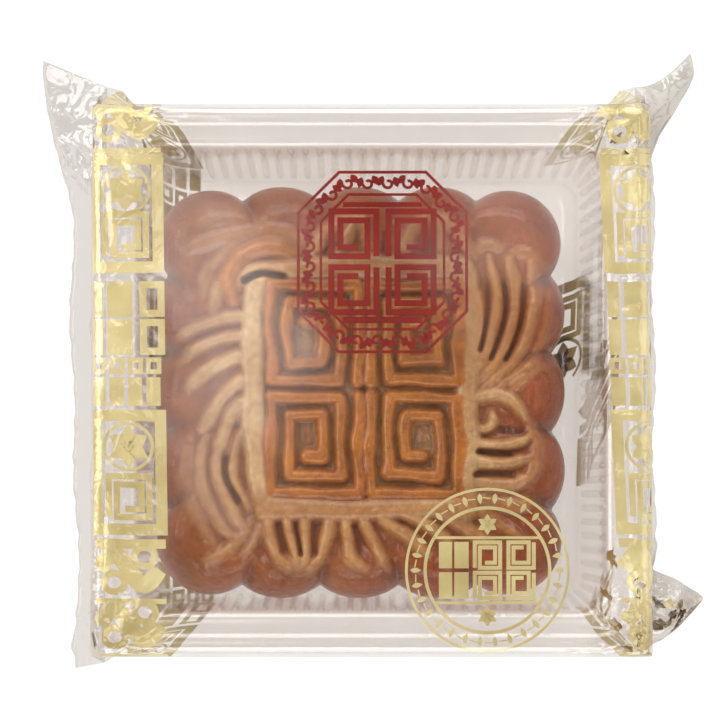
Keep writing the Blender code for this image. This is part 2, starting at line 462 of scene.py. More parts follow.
def filmEnd(fin):
    flatRim = film["rimHalfX"] - film["rimRadius"]
    flatFloor = film["floorHalfX"] - film["floorRadius"]
    parts = []

    def addBody(rimX, floorX, reach):
        rise = max((rimX - film["flareStartX"]) / (film["rimHalfX"] - film["flareStartX"]), 0.0)
        flares = tuple(amount * rise ** film["flarePower"] for amount in fin["flare"])
        parts.append(bodyParts(fin["side"] * rimX, fin["side"] * floorX, reach, flares))

    for step in range(1, film["flatSteps"]):
        share = math.sin(step / film["flatSteps"] * quarterTurn) ** 0.9
        addBody(share * flatRim, share * flatFloor, 0.0)
    for step in range(film["arcSteps"] + 1):
        reach = step / film["arcSteps"]
        turn = math.sin(reach * quarterTurn)
        addBody(flatRim + film["rimRadius"] * turn, flatFloor + film["floorRadius"] * turn, reach)
    rim = parts[-1]
    sideCount = len(rim["plus"])
    foot = finParts(fin, 0.0, sideCount)
    w = np.linspace(-1.0, 1.0, film["acrossSteps"] + 1)
    for step in range(1, film["endSteps"]):
        part = step / film["endSteps"]
        swell = fin["side"] * film["endBulge"] * math.sin(part * math.pi) * (1.0 - w ** 2)
        loop = {}
        for sheet in ("top", "bottom"):
            loop[sheet] = blendPoints(rim[sheet], foot[sheet], part)
            loop[sheet][:, 0] += swell
        for name, index in (("minus", 0), ("plus", -1)):
            wall = []
            for order, near in enumerate(rim[name]):
                share = smoothStep(*film["endPinch"], order / (sideCount - 1))
                far = blendPoints(foot["top"][index], foot["bottom"][index], float(share))
                wall.append(blendPoints(near, far, part))
            loop[name] = np.array(wall)
        parts.append(loop)
    for step in range(film["finSteps"] + 1):
        parts.append(finParts(fin, step / film["finSteps"], sideCount))
    return parts


def gridNormals(grid):
    along = np.gradient(grid, axis=0)
    around = np.roll(grid, -1, axis=1) - np.roll(grid, 1, axis=1)
    normal = np.cross(around, along)
    return normal / np.maximum(np.linalg.norm(normal, axis=2, keepdims=True), 1e-9)


def buildFilmGrid():
    ends = [filmEnd(leftFin)[::-1], filmEnd(rightFin)]
    loops = ends[0] + [bodyParts(0.0, 0.0, 0.0, (0.0, 0.0))] + ends[1]
    rings = [[*p["top"], *p["plus"], *p["bottom"][::-1], *p["minus"][::-1]] for p in loops]
    return np.array(rings), len(ends[0])


def wrinkleFilm(grid):
    # shallow sag and pulls in the sheet, and pleats that gather towards the fins
    x, y, z = grid[:, :, 0], grid[:, :, 1], grid[:, :, 2]
    outX, outY, topZ = np.abs(x), np.abs(y), film["topZ"]
    beforeEnds, beforeSides = smoothStep(*film["beforeEnds"], outX), smoothStep(*film["beforeSides"], outY)
    onTop = smoothStep(topZ - film["flatDepth"], topZ, z) * beforeEnds * beforeSides
    size, *waves = film["topRipple"]
    shift = size * onTop * rippleField(x, y, *waves)
    onWall = smoothStep(*film["sideWall"], outY) * smoothStep(*film["underRim"], z)
    onWall = onWall * smoothStep(*film["overFloor"], z) * smoothStep(*film["beforeSides"], outX)
    size, *waves = film["wallRipple"]
    shift = shift + size * onWall * rippleField(x, z * 1.6, *waves)
    topSheet = smoothStep(*(topZ - depth for depth in film["topSheetDepth"]), z)
    for x0, y0, x1, y1, halfWidth, height in film["creases"]:
        t, away = segmentReach(x, y, x0, y0, x1, y1)
        crease = np.exp(-(away / halfWidth) ** 2) * smoothStep(0.0, 0.25, t) * smoothStep(1.0, 0.5, t)
        shift = shift + height * topSheet * crease
    endFace = smoothStep(*film["endWall"], outX) * smoothStep(*film["endUnderRim"], z)
    endFace = endFace * smoothStep(*film["endOverSeal"], z)
    fan = y / (0.75 + 0.25 * smoothStep(*film["pleatFan"], z))
    size, *waves = film["pleats"]
    pleats = rippleField(fan, z * 0.12, *waves)
    shift = shift + size * endFace * np.sign(pleats) * np.abs(pleats) ** 1.3
    return grid + gridNormals(grid) * shift[:, :, None]


filmGrid, middleLoop = buildFilmGrid()
filmGrid = wrinkleFilm(filmGrid)
filmNormals = gridNormals(filmGrid)
loopCount, ringCount = filmGrid.shape[:2]
topCentre = film["acrossSteps"] // 2


def filmTables():
    # arc length along the top's centre line, and round every ring from that line
    along = runLength(filmGrid[:, topCentre, :])
    order = (np.arange(ringCount) + topCentre - ringCount // 2) % ringCount
    ringSteps = np.linalg.norm(np.diff(filmGrid[:, order, :], axis=1), axis=2)
    around = np.concatenate([np.zeros((loopCount, 1)), np.cumsum(ringSteps, axis=1)], axis=1)
    centre = ringCount // 2
    return along - along[middleLoop], around - around[:, centre:centre + 1], order


filmAlong, filmAround, filmOrder = filmTables()


def onFilm(a, s, lift):
    # point above the film at arc length a along the bag and s round it
    i = int(np.clip(np.searchsorted(filmAlong, a) - 1, 0, loopCount - 2))
    t = (a - filmAlong[i]) / (filmAlong[i + 1] - filmAlong[i])
    spots, normals = [], []
    for loop in (i, i + 1):
        row = filmAround[loop]
        j = int(np.clip(np.searchsorted(row, s) - 1, 0, len(row) - 2))
        f = (s - row[j]) / max(row[j + 1] - row[j], 1e-6)
        p, q = filmOrder[j], filmOrder[j + 1]
        spots.append(filmGrid[loop, p] * (1.0 - f) + filmGrid[loop, q] * f)
        normals.append(filmNormals[loop, p] * (1.0 - f) + filmNormals[loop, q] * f)
    spot = spots[0] * (1.0 - t) + spots[1] * t
    normal = normals[0] * (1.0 - t) + normals[1] * t
    return spot + normal * lift / max(np.linalg.norm(normal), 1e-6)


def finEdgeFaces(start):
    # closes the narrow edge of a fin between its two sheets
    half = film["acrossSteps"] + 1
    sideCount = (ringCount - 2 * half) // 2
    bottomStart = half + sideCount
    faces = []
    for step in range(half - 1):
        a, d = start + step, start + bottomStart + half - 1 - step
        faces.append((a, a + 1, d - 1, d))
    faces.append(tuple(start + half - 1 + k for k in range(sideCount + 2)))
    faces.append(tuple(start + (bottomStart + half - 1 + k) % ringCount for k in range(sideCount + 2)))
    return faces


def bagMasks(points):
    # where the film is crumpled, and where several layers of it lie together
    x, y, z = points[:, 0], points[:, 1], points[:, 2]
    outX = np.abs(x)
    nearCorner = np.hypot(outX - 50.0, np.abs(y) - 50.0)
    onFin = smoothStep(*film["finUnder"], z) * smoothStep(*film["finPast"], outX)
    frontRight = smoothStep(*film["frontEar"], y) * (x > 0.0)
    backRight = smoothStep(*film["backEar"], y) * (x > 0.0)
    size, *waves = film["patches"]
    patchy = np.clip(0.55 + size * rippleField(x + 0.6 * z, y, *waves), 0.0, 1.0)
    worn, layers = film["crumple"], film["gathered"]
    crumple = worn["ends"] * smoothStep(*film["towardsEnds"], outX) * patchy * (1.0 - onFin)
    crumple = crumple + worn["corners"] * smoothStep(*film["wideCorner"], nearCorner)
    crumple = crumple + onFin * (worn["fins"] + worn["frontEar"] * frontRight)
    ears = layers["fins"] + layers["backEar"] * backRight * patchy + layers["frontEar"] * frontRight * patchy
    corners = layers["corners"] * patchy * smoothStep(*film["tightCorner"], nearCorner) * (1.0 - onFin)
    gathered = onFin * ears + corners
    return {"crumple": np.clip(crumple, 0.0, 1.0), "gathered": np.clip(gathered, 0.0, 1.0)}


def buildBag():
    points = filmGrid.reshape(-1, 3)
    faces = gridFaces(loopCount, ringCount, closedColumns=True)
    faces += finEdgeFaces(0) + finEdgeFaces((loopCount - 1) * ringCount)
    piece = meshPiece("clear_bag", points, faces, clearPlastic("clearFilm", filmLook))
    facesOut(piece)
    writeMasks(piece, bagMasks(points))
    settle(piece, "sealed_bag")
    print("film bag:", len(piece.data.polygons), "faces")


buildBag()


# tray: rounded squares one above another

tray = {
    "centre": (-0.1, 0.1),
    "thickness": 0.35,
    "sideSteps": 60,
    "cornerSteps": 14,
    # half size in x and y, corner radius, height
    "levels": (
        (49.9, 49.3, 8.0, 36.2),
        (50.0, 49.4, 8.0, 36.9),
        (49.7, 49.1, 7.8, 37.35),
        (49.1, 48.5, 7.4, 37.45),
        (47.6, 47.0, 6.6, 37.45),
        (47.2, 46.6, 6.4, 37.1),
        (46.9, 46.3, 6.2, 36.9),
        (44.4, 43.9, 5.8, 36.9),
        (43.5, 43.0, 5.6, 36.75),
        (43.0, 42.5, 5.4, 36.2),
        (42.75, 42.25, 5.3, 34.6),
        (42.2, 41.7, 5.2, 26.0),
        (41.6, 41.1, 5.1, 16.0),
        (41.0, 40.5, 5.0, 6.0),
        (40.8, 40.3, 5.0, 3.0),
        (40.3, 39.8, 4.8, 1.5),
        (39.2, 38.7, 4.4, 0.75),
        (37.0, 36.5, 3.6, 0.6),
        (30.0, 29.5, 3.0, 0.6),
        (15.0, 14.8, 2.0, 0.6),
    ),
}
trayRib = {
    "pathLevel": 9,
    "top": 34.6,
    "floor": 3.5,
    "rows": 12,
    "radius": 0.58,
    "widthShare": 1.25,
    "sunk": 0.1,
    "taper": 3.2,
    "arcSteps": 6,
    "count": 126,
}
trayLook = {
    "tint": (0.97, 0.95, 0.935),
    "gloss": (1.0, 0.98, 0.96),
    "roughness": 0.15,
    "edgeGain": 0.42,
    "baseGain": 0.05,
    "sagScale": 90.0,
    "sagDepth": 0.15,
    "haze": 0.05,
    "hazeTone": (0.90, 0.86, 0.82),
}


def roundedSquare(halfX, halfY, radius, z, sideSteps, cornerSteps):
    # closed loop that starts at the middle of the +x side and turns left
    points = []
    corners = ((1, 1, 0.0), (-1, 1, 90.0), (-1, -1, 180.0), (1, -1, 270.0))

    def cornerSpot(sx, sy, degrees):
        c, s = math.cos(math.radians(degrees)), math.sin(math.radians(degrees))
        return sx * (halfX - radius) + radius * c, sy * (halfY - radius) + radius * s

    for index, (sx, sy, start) in enumerate(corners):
        for step in range(cornerSteps + 1):
            points.append((*cornerSpot(sx, sy, start + 90.0 * step / cornerSteps), z))
        endX, endY = cornerSpot(*corners[(index + 1) % 4])
        startX, startY, _ = points[-1]
        for step in range(1, sideSteps):
            t = step / sideSteps
            points.append((startX + (endX - startX) * t, startY + (endY - startY) * t, z))
    return np.array(points)


def buildTray():
    loops = [roundedSquare(*level, tray["sideSteps"], tray["cornerSteps"]) for level in tray["levels"]]
    points = np.concatenate(loops) + np.array([*tray["centre"], 0.0])
    count = len(loops[0])
    faces = gridFaces(len(loops), count, closedColumns=True)
    faces.append(tuple((len(loops) - 1) * count + k for k in range(count)))
    piece = meshPiece("clear_tray", points, faces, trayMaterial)
    shell = piece.modifiers.new("wall", "SOLIDIFY")
    shell.thickness = tray["thickness"] * mm
    shell.offset = 0.0
    settle(piece)


# one node tree that sets a motif again and again along a path

def strewTree():
    tree = bpy.data.node_groups.new("strewAlongPath", "GeometryNodeTree")
    addSockets(
        tree,
        [
            ("Geometry", "Geometry", None),
            ("Motif", "Object", None),
            ("Count", "Int", 8),
            ("Motif Scale", "Float", 1.0),
            ("Material", "Material", None),
        ],
        [("Geometry", "Geometry")],
    )
    given = put(tree, "NodeGroupInput").outputs
    inputs = {"Curve": given["Geometry"], "Count": given["Count"]}
    spread = put(tree, "GeometryNodeCurveToPoints", inputs, mode="COUNT").outputs
    inputs = {"Vector": spread["Tangent"]}
    aim = put(tree, "FunctionNodeAlignRotationToVector", inputs, axis="X", pivot_axis="Z").outputs
    motif = put(tree, "GeometryNodeObjectInfo", {"Object": given["Motif"]}).outputs
    place = put(tree, "GeometryNodeInstanceOnPoints", {
        "Points": spread["Points"],
        "Instance": motif["Geometry"],
        "Rotation": aim["Rotation"],
        "Scale": given["Motif Scale"],
    }).outputs
    solid = put(tree, "GeometryNodeRealizeInstances", {"Geometry": place["Instances"]}).outputs
    inputs = {"Geometry": solid["Geometry"], "Material": given["Material"]}
    paint = put(tree, "GeometryNodeSetMaterial", inputs).outputs
    put(tree, "NodeGroupOutput", {"Geometry": paint["Geometry"]})
    return tree


strewNodes = strewTree()


def bakeNodes(source, tree, values, name):
    # runs a node tree on an object and keeps the result as a plain mesh piece
    modifier = source.modifiers.new("nodes", "NODES")
    modifier.node_group = tree
    for item in tree.interface.items_tree:
        if item.item_type == "SOCKET" and item.in_out == "INPUT" and item.name in values:
            modifier[item.identifier] = values[item.name]
    graph = bpy.context.evaluated_depsgraph_get()
    graph.update()
    data = bpy.data.meshes.new_from_object(source.evaluated_get(graph))
    data.name = name
    source.modifiers.remove(modifier)
    bpy.data.objects.remove(source, do_unlink=True)
    return linkObject(name, data)


def strew(name, path, motif, count, material, closed=True):
    # a path of plan points and a motif of points and faces; gives a mesh piece
    data = bpy.data.curves.new(name + "Path", "CURVE")
    data.dimensions = "3D"
    spline = data.splines.new("POLY")
    spline.points.add(len(path) - 1)
    for point, (x, y) in zip(spline.points, path):
        point.co = (x * mm, y * mm, 0.0, 1.0)
    spline.use_cyclic_u = closed
    source = linkObject(name + "Path", data)
    shape = meshPiece(name + "Motif", *motif, material)
    values = {"Motif": shape, "Count": count, "Motif Scale": 1.0, "Material": material}
    piece = bakeNodes(source, strewNodes, values, name)
    bpy.data.objects.remove(shape, do_unlink=True)
    return piece


def takeShape(piece):
    # a mesh piece back to points and faces, and the piece is dropped
    points = [tuple(c / mm for c in v.co) for v in piece.data.vertices]
    faces = [tuple(f.vertices) for f in piece.data.polygons]
    bpy.data.objects.remove(piece, do_unlink=True)
    return points, faces


def buildRibs():
    # upright ribs on the inner side of the four walls, each following the wall's lean
    first, rows, arc = trayRib["pathLevel"], trayRib["rows"], trayRib["arcSteps"]
    halfX, halfY, radius, _ = tray["levels"][first]
    lower = tray["levels"][first:][::-1]
    wallZ, wallOut = [level[3] for level in lower], [level[0] - halfX for level in lower]
    points = []
    for row, z in enumerate(np.linspace(trayRib["top"], trayRib["floor"], rows)):
        out = float(np.interp(z, wallZ, wallOut))
        # each rib is thinner towards its two ends
        taper = trayRib["taper"] * math.sin(math.pi * (0.06 + 0.88 * row / (rows - 1)))
        size = trayRib["radius"] * min(1.0, taper)
        for k in range(arc + 1):
            angle = math.pi * k / arc
            across = size * trayRib["widthShare"] * math.cos(angle)
            points.append((across, size * math.sin(angle) - out - trayRib["sunk"], z))
    faces = [(a, d, c, b) for a, b, c, d in gridFaces(rows, arc + 1)]
    faces.append(tuple(range(arc + 1)))
    faces.append(tuple((rows - 1) * (arc + 1) + k for k in range(arc + 1))[::-1])
    centreX, centreY = tray["centre"]
    path = [(p[0] + centreX, p[1] + centreY) for p in roundedSquare(halfX, halfY, radius, 0.0, 4, 8)]
    piece = strew("tray_ribs", path, (points, faces), trayRib["count"], trayMaterial)
    piece.data.shade_smooth()
    settle(piece)
    print("tray ribs:", len(piece.data.polygons), "faces")


trayMaterial = clearPlastic("clearTray", trayLook)
buildTray()
buildRibs()
print("tray: walls and flange ready")


# cake

cake = {
    "centre": (-2.2, -1.7),
    "scale": 5.4,
    "pixelCentre": (359.5, 388.5),
    "halfSize": 38.6,
    "notchReach": 36.2,
    "notches": (7.4, 22.0),
    "notchWidth": 1.15,
    "cornerCentre": 27.9,
    "cornerRadius": 10.05,
    "baseZ": 1.0,
    "topZ": 27.6,
    "dome": 0.7,
    "shoulderWidth": 7.2,
    "shoulderDrop": 8.6,
    "gridSteps": 250,
    "arcSamples": 60,
    "wallRows": 26,
    # fades over the ring share, which runs from 0 in the middle to 1 at the rim
    "lobeBand": (0.62, 0.97),
    "reliefBand": (0.93, 0.80),
    "grooveBand": (0.80, 0.97),
    "shallowBand": (0.70, 0.92),
    "puffInner": (0.70, 0.86),
    "puffOuter": (1.0, 0.86),
    "rimBand": (0.55, 0.90),
    "redderX": (-14.0, 24.0),
    "puff": 0.9,
    "grooveDepth": 1.3,
    "shallowDepth": 1.1,
    "shallowWidth": 2.6,
    # unevenness of the baked top: height, seed, number, shortest and longest of its waves
    "waves": ((0.22, 5, 9, 5.0, 22.0), (0.07, 6, 12, 1.8, 4.5)),
    "liftScale": 0.9,
    "wallSwell": 0.35,
    "wallTuck": 1.3,
    "footTuck": 1.6,
    "footShare": 0.08,
    # pattern: how much its plan is bent, and the size of the panel it stands on
    "bend": 0.45,
    "panelX": (20.4, 18.6),
    "panelY": (21.9, 20.4),
}


def sideOutline(samples):
    # the +y side from the middle of one corner lobe to the middle of the next, left to right
    near, far = cake["notches"]
    reach, top, count = cake["notchReach"], cake["halfSize"], cake["arcSamples"]
    centre, radius = cake["cornerCentre"], cake["cornerRadius"]
    start = math.atan2(reach - centre, centre - far)

    def arc(middleX, middleY, size, first, last):
        angles = np.linspace(first, last, count)
        return [(middleX + size * math.cos(a), middleY + size * math.sin(a)) for a in angles]

    points = arc(-centre, centre, radius, math.radians(135.0), start)
    for left, right in ((-far, -near), (-near, near), (near, far)):
        chord, rise = (right - left) / 2.0, top - reach
        size = (chord ** 2 + rise ** 2) / (2.0 * rise)
        spread = math.asin(chord / size)
        points += arc((left + right) / 2.0, top - size, size, quarterTurn + spread, quarterTurn - spread)[1:]
    points += arc(centre, centre, radius, math.pi - start, math.radians(45.0))[1:]
    points = np.array(points)
    steps = runLength(points)
    wanted = np.linspace(0.0, steps[-1], samples)
    line = np.stack([np.interp(wanted, steps, points[:, k]) for k in (0, 1)], axis=1)
    notchAt = [np.interp(n, points[count:-count, 0], steps[count:-count]) for n in (-far, -near, near, far)]
    return line, np.min([np.abs(wanted - n) for n in notchAt], axis=0)


def cakePlan():
    # plan position of every grid point, its ring share m, and its distance from a notch line
    steps = cake["gridSteps"]
    outline, notchGap = sideOutline(steps + 1)
    u = np.linspace(-1.0, 1.0, steps + 1)
    gridU, gridV = np.meshgrid(u, u, indexing="ij")
    m = np.maximum(np.abs(gridU), np.abs(gridV))
    safe = np.maximum(m, 1e-6)
    plain = np.stack([gridU, gridV], axis=2) * cake["halfSize"]
    lobed = np.zeros_like(plain)
    gap = np.zeros_like(m)
    # each quarter of the grid takes the same side, turned by quarter turns
    for c, s in ((1, 0), (0, 1), (-1, 0), (0, -1)):
        localU = gridU * c + gridV * s
        localV = -gridU * s + gridV * c
        here = (localV >= np.abs(localU) - 1e-9) & (m > 1e-6)
        t = np.clip((localU / safe + 1.0) / 2.0 * steps, 0.0, steps)
        sideX, sideY, sideGap = (
            np.interp(t, np.arange(steps + 1), values) for values in (outline[:, 0], outline[:, 1], notchGap)
        )
        lobed[here, 0] = (sideX * c - sideY * s)[here]
        lobed[here, 1] = (sideX * s + sideY * c)[here]
        gap[here] = sideGap[here]
    return plain, lobed, m, gap


def px(*spots):
    # photo pixels to millimetres from the cake's centre
    cx, cy = cake["pixelCentre"]
    return [((x - cx) / cake["scale"], (cy - y) / cake["scale"]) for x, y in spots]


def lineReach(x, y, spots):
    # distance to a line, and how far along it the nearest point lies (0 to 1)
    lengths = runLength(np.array(spots, dtype=float))
    best, share = np.full_like(x, 1e3), np.zeros_like(x)
    for k in range(len(spots) - 1):
        t, away = segmentReach(x, y, *spots[k], *spots[k + 1])
        here = (lengths[k] + t * (lengths[k + 1] - lengths[k])) / lengths[-1]
        share = np.where(away < best, here, share)
        best = np.minimum(best, away)
    return best, share


def softUnion(a, b, blend):
    near = np.clip(blend - np.abs(a - b), 0.0, None) / blend
    return np.maximum(a, b) + near * near * blend * 0.25


def softened(values, reach):
    # the same field after two box blurs each way
    for axis in (0, 1, 0, 1):
        values = np.mean([np.roll(values, k, axis=axis) for k in range(-reach, reach + 1)], axis=0)
    return values


def smoothLine(spots, count=7):
    # rounded line through every spot
    points = [np.array(p) for p in (spots[0], *spots, spots[-1])]
    out = []
    for p0, p1, p2, p3 in zip(points, points[1:], points[2:], points[3:]):
        for t in np.linspace(0.0, 1.0, count, endpoint=False):
            bend = (2 * p0 - 5 * p1 + 4 * p2 - p3) * t * t + (3 * p1 - p0 - 3 * p2 + p3) * t ** 3
            out.append(tuple(0.5 * (2 * p1 + (p2 - p0) * t + bend)))
    return out + [tuple(points[-1])]


# raised lines round the panel: (pixels along the line, half width and height in mm, paleness, orange); the
# paleness, highest on the left, is partly lighter baking and partly a painted veil reflection
petalRidges = (
    # top left
    (((232, 300), (229, 277), (238, 258), (256, 247), (277, 245), (293, 252)), 2.0, 2.4, 0.12, 0.85),
    (((182, 250), (209, 238), (245, 231), (276, 232), (303, 237)), 1.9, 1.2, 0.1, 0.0),
    (((202, 291), (213, 263), (234, 243), (256, 236)), 1.6, 1.1, 0.15, 0.0),
    (((210, 310), (217, 289), (227, 272)), 1.5, 1.2, 0.35, 0.0),
    (((171, 228), (202, 214), (240, 214), (274, 218)), 2.2, 0.8, 0.0, 0.0),
    (((238, 287), (247, 269), (265, 262), (289, 265)), 1.3, 1.9, 0.45, 0.2),
    # left
    (((247, 318), (222, 316), (198, 323), (176, 337)), 1.5, 1.7, 0.6, 0.0),
    (((247, 335), (222, 337), (200, 347), (181, 362)), 1.5, 1.8, 0.7, 0.0),
    (((247, 353), (229, 358), (209, 370), (190, 386)), 1.6, 1.9, 0.8, 0.0),
    (((247, 372), (234, 384), (218, 404), (203, 426)), 1.8, 2.0, 0.9, 0.0),
    (((247, 397), (236, 409), (225, 426), (219, 452)), 1.7, 2.0, 0.8, 0.0),
    (((219, 450), (219, 479), (227, 504), (241, 520)), 1.7, 2.1, 0.65, 0.1),
    (((247, 423), (237, 437), (233, 459), (236, 483), (247, 505)), 1.3, 1.8, 0.5, 0.0),
    (((190, 439), (185, 466), (191, 497), (203, 525), (219, 543)), 1.9, 1.1, 0.1, 0.0),
    (((207, 435), (201, 463), (205, 493), (218, 518), (234, 531)), 1.5, 1.5, 0.35, 0.0),
    (((251, 517), (240, 536), (223, 552), (208, 561)), 1.5, 1.2, 0.2, 0.0),
    (((262, 516), (256, 535), (245, 553)), 1.2, 1.2, 0.3, 0.0),
    # bottom
    (((268, 510), (270, 534), (278, 556), (296, 570)), 1.55, 2.2, 0.3, 0.15),
    (((288, 511), (289, 534), (293, 552), (298, 567)), 1.45, 2.1, 0.35, 0.1),
    (((308, 511), (307, 534), (304, 552), (299, 567)), 1.45, 2.1, 0.35, 0.1),
    (((329, 510), (328, 534), (320, 556), (302, 570)), 1.55, 2.2, 0.3, 0.15),
    (((347, 510), (347, 534), (353, 556), (368, 569)), 1.5, 2.1, 0.3, 0.15),
    (((362, 512), (368, 531), (379, 551), (388, 566)), 1.35, 2.0, 0.35, 0.1),
    (((375, 512), (391, 526), (409, 536), (429, 550)), 1.5, 2.1, 0.35, 0.1),
    (((393, 510), (413, 517), (434, 528), (456, 543)), 1.5, 2.0, 0.3, 0.1),
    (((415, 507), (439, 512), (469, 527), (496, 547)), 1.6, 1.7, 0.2, 0.0),
    (((446, 503), (470, 507), (500, 520), (522, 537)), 1.6, 1.4, 0.1, 0.0),
    # right
    (((466, 404), (477, 395), (496, 393), (514, 401), (524, 415)), 1.5, 2.1, 0.6, 0.0),
    (((469, 419), (482, 426), (492, 421), (492, 410)), 1.2, 1.8, 0.6, 0.0),
    (((468, 440), (487, 445), (510, 444), (528, 434)), 1.6, 2.1, 0.7, 0.0),
    (((470, 458), (489, 464), (510, 464), (530, 457)), 1.5, 2.0, 0.6, 0.0),
    (((471, 475), (489, 484), (510, 484), (532, 477)), 1.6, 1.8, 0.4, 0.0),
    (((524, 415), (537, 435), (537, 462), (528, 486)), 1.5, 1.4, 0.15, 0.0),
    (((468, 493), (491, 500), (513, 502), (536, 496)), 1.5, 1.2, 0.15, 0.0),
    # top right
    (((470, 282), (478, 305), (478, 332), (470, 363)), 1.6, 2.1, 0.1, 0.45),
    (((491, 256), (496, 287), (493, 319), (484, 350), (471, 377)), 1.65, 2.2, 0.2, 0.35),
    (((511, 254), (516, 287), (511, 323), (498, 355), (475, 384)), 1.65, 2.2, 0.12, 0.3),
    (((532, 261), (536, 292), (529, 328), (511, 361), (480, 390)), 1.65, 2.1, 0.1, 0.2),
    (((553, 282), (553, 314), (543, 346), (520, 372), (487, 395)), 1.6, 1.8, 0.05, 0.1),
    (((559, 358), (540, 367), (522, 380), (509, 395)), 1.5, 1.2, 0.1, 0.0),
    (((468, 258), (484, 244), (501, 245)), 1.5, 1.1, 0.1, 0.0),
    (((513, 249), (531, 249), (548, 266)), 1.5, 0.9, 0.05, 0.0),
    # top, mostly under the red medallion
    (((312, 254), (328, 228), (352, 212)), 1.7, 1.5, 0.2, 0.1),
    (((340, 254), (348, 232), (360, 212)), 1.6, 1.5, 0.25, 0.1),
    (((370, 254), (366, 232), (362, 212)), 1.6, 1.5, 0.25, 0.1),
    (((404, 254), (412, 230), (430, 212)), 1.6, 1.5, 0.25, 0.1),
    (((440, 254), (438, 232), (434, 212)), 1.6, 1.5, 0.2, 0.1),
    (((468, 254), (458, 232), (442, 212)), 1.7, 1.5, 0.2, 0.1),
)
ridgeShape = {
    "endShare": 0.16,
    "endWidth": (0.82, 0.28),
    "endHeight": (0.7, 0.3),
    "roundness": 0.75,
    "blend": 0.3,
    "fullTone": 2.0,
    "paleEdge": 1.6,
}
# slots cut between the raised lines, their darkness painted shade: (pixels along the line, half width and
# depth in mm)
petalSlots = (
    (((245, 279), (262, 271), (283, 275)), 0.7, 1.5),
    (((227, 457), (228, 479), (237, 500)), 0.5, 0.9),
    (((279, 522), (282, 549)), 0.6, 0.5),
    (((318, 522), (315, 549)), 0.6, 0.5),
    (((298, 522), (298, 551)), 0.4, 0.7),
    (((355, 524), (362, 551)), 0.5, 0.5),
    (((501, 427), (519, 430)), 0.8, 1.6),
    (((477, 451), (513, 454)), 0.5, 1.2),
    (((478, 473), (513, 475)), 0.5, 1.1),
    (((487, 282), (486, 318), (478, 349)), 0.35, 0.6),
    (((505, 282), (503, 322), (489, 356)), 0.35, 0.6),
    (((525, 286), (520, 325), (504, 357)), 0.35, 0.6),
    (((326, 252), (340, 240)), 0.6, 1.0),
    (((386, 252), (388, 232)), 0.6, 1.0),
    (((424, 252), (430, 238)), 0.6, 1.0),
)
slotShape = {"edge": (1.7, 0.2), "clears": 0.8, "cut": 0.6, "fullTone": 1.4}
panelFrame = {
    "line": (
        (254, 298), (259, 276), (276, 268), (444, 266), (462, 276), (467, 296), (467, 490), (460, 503),
        (444, 507), (282, 507), (266, 502), (260, 486), (252, 400), (252, 320), (254, 298),
    ),
    "halfWidth": 1.95,
    "height": 2.3,
    "pale": {"middle": 0.74, "fallOver": 120.0, "uneven": 0.2, "least": 0.15},
    # where the bar is browner, and by how much
    "nearSide": ((-16.0, -21.0), 0.75),
    "farRight": ((12.0, 18.0), 0.6),
}
# one square meander that fills a quarter of the panel, mirrored about its two middle lines
panelFret = {
    "line": (
        (1.1, 1.2), (1.1, 19.3), (17.3, 19.3), (17.3, 1.6), (4.4, 1.6), (4.4, 15.9),
        (13.9, 15.9), (13.9, 5.0), (7.7, 5.0), (7.7, 12.5), (10.7, 12.5),
    ),
    "halfWidth": 0.98,
    "height": 2.1,
    "edge": 0.7,
    "uneven": (0.14, 41, 8, 3.0, 9.0),
    "centre": (364.5, 387.0),
}


def ridgeProfile(distance, halfWidth, edge=0.9):
    # rounded top that falls off steeply past its half width
    inside = np.clip(distance / (halfWidth + edge * 0.5), 0.0, 1.0)
    return np.sqrt(np.clip(1.0 - inside ** 2.6, 0.0, 1.0))


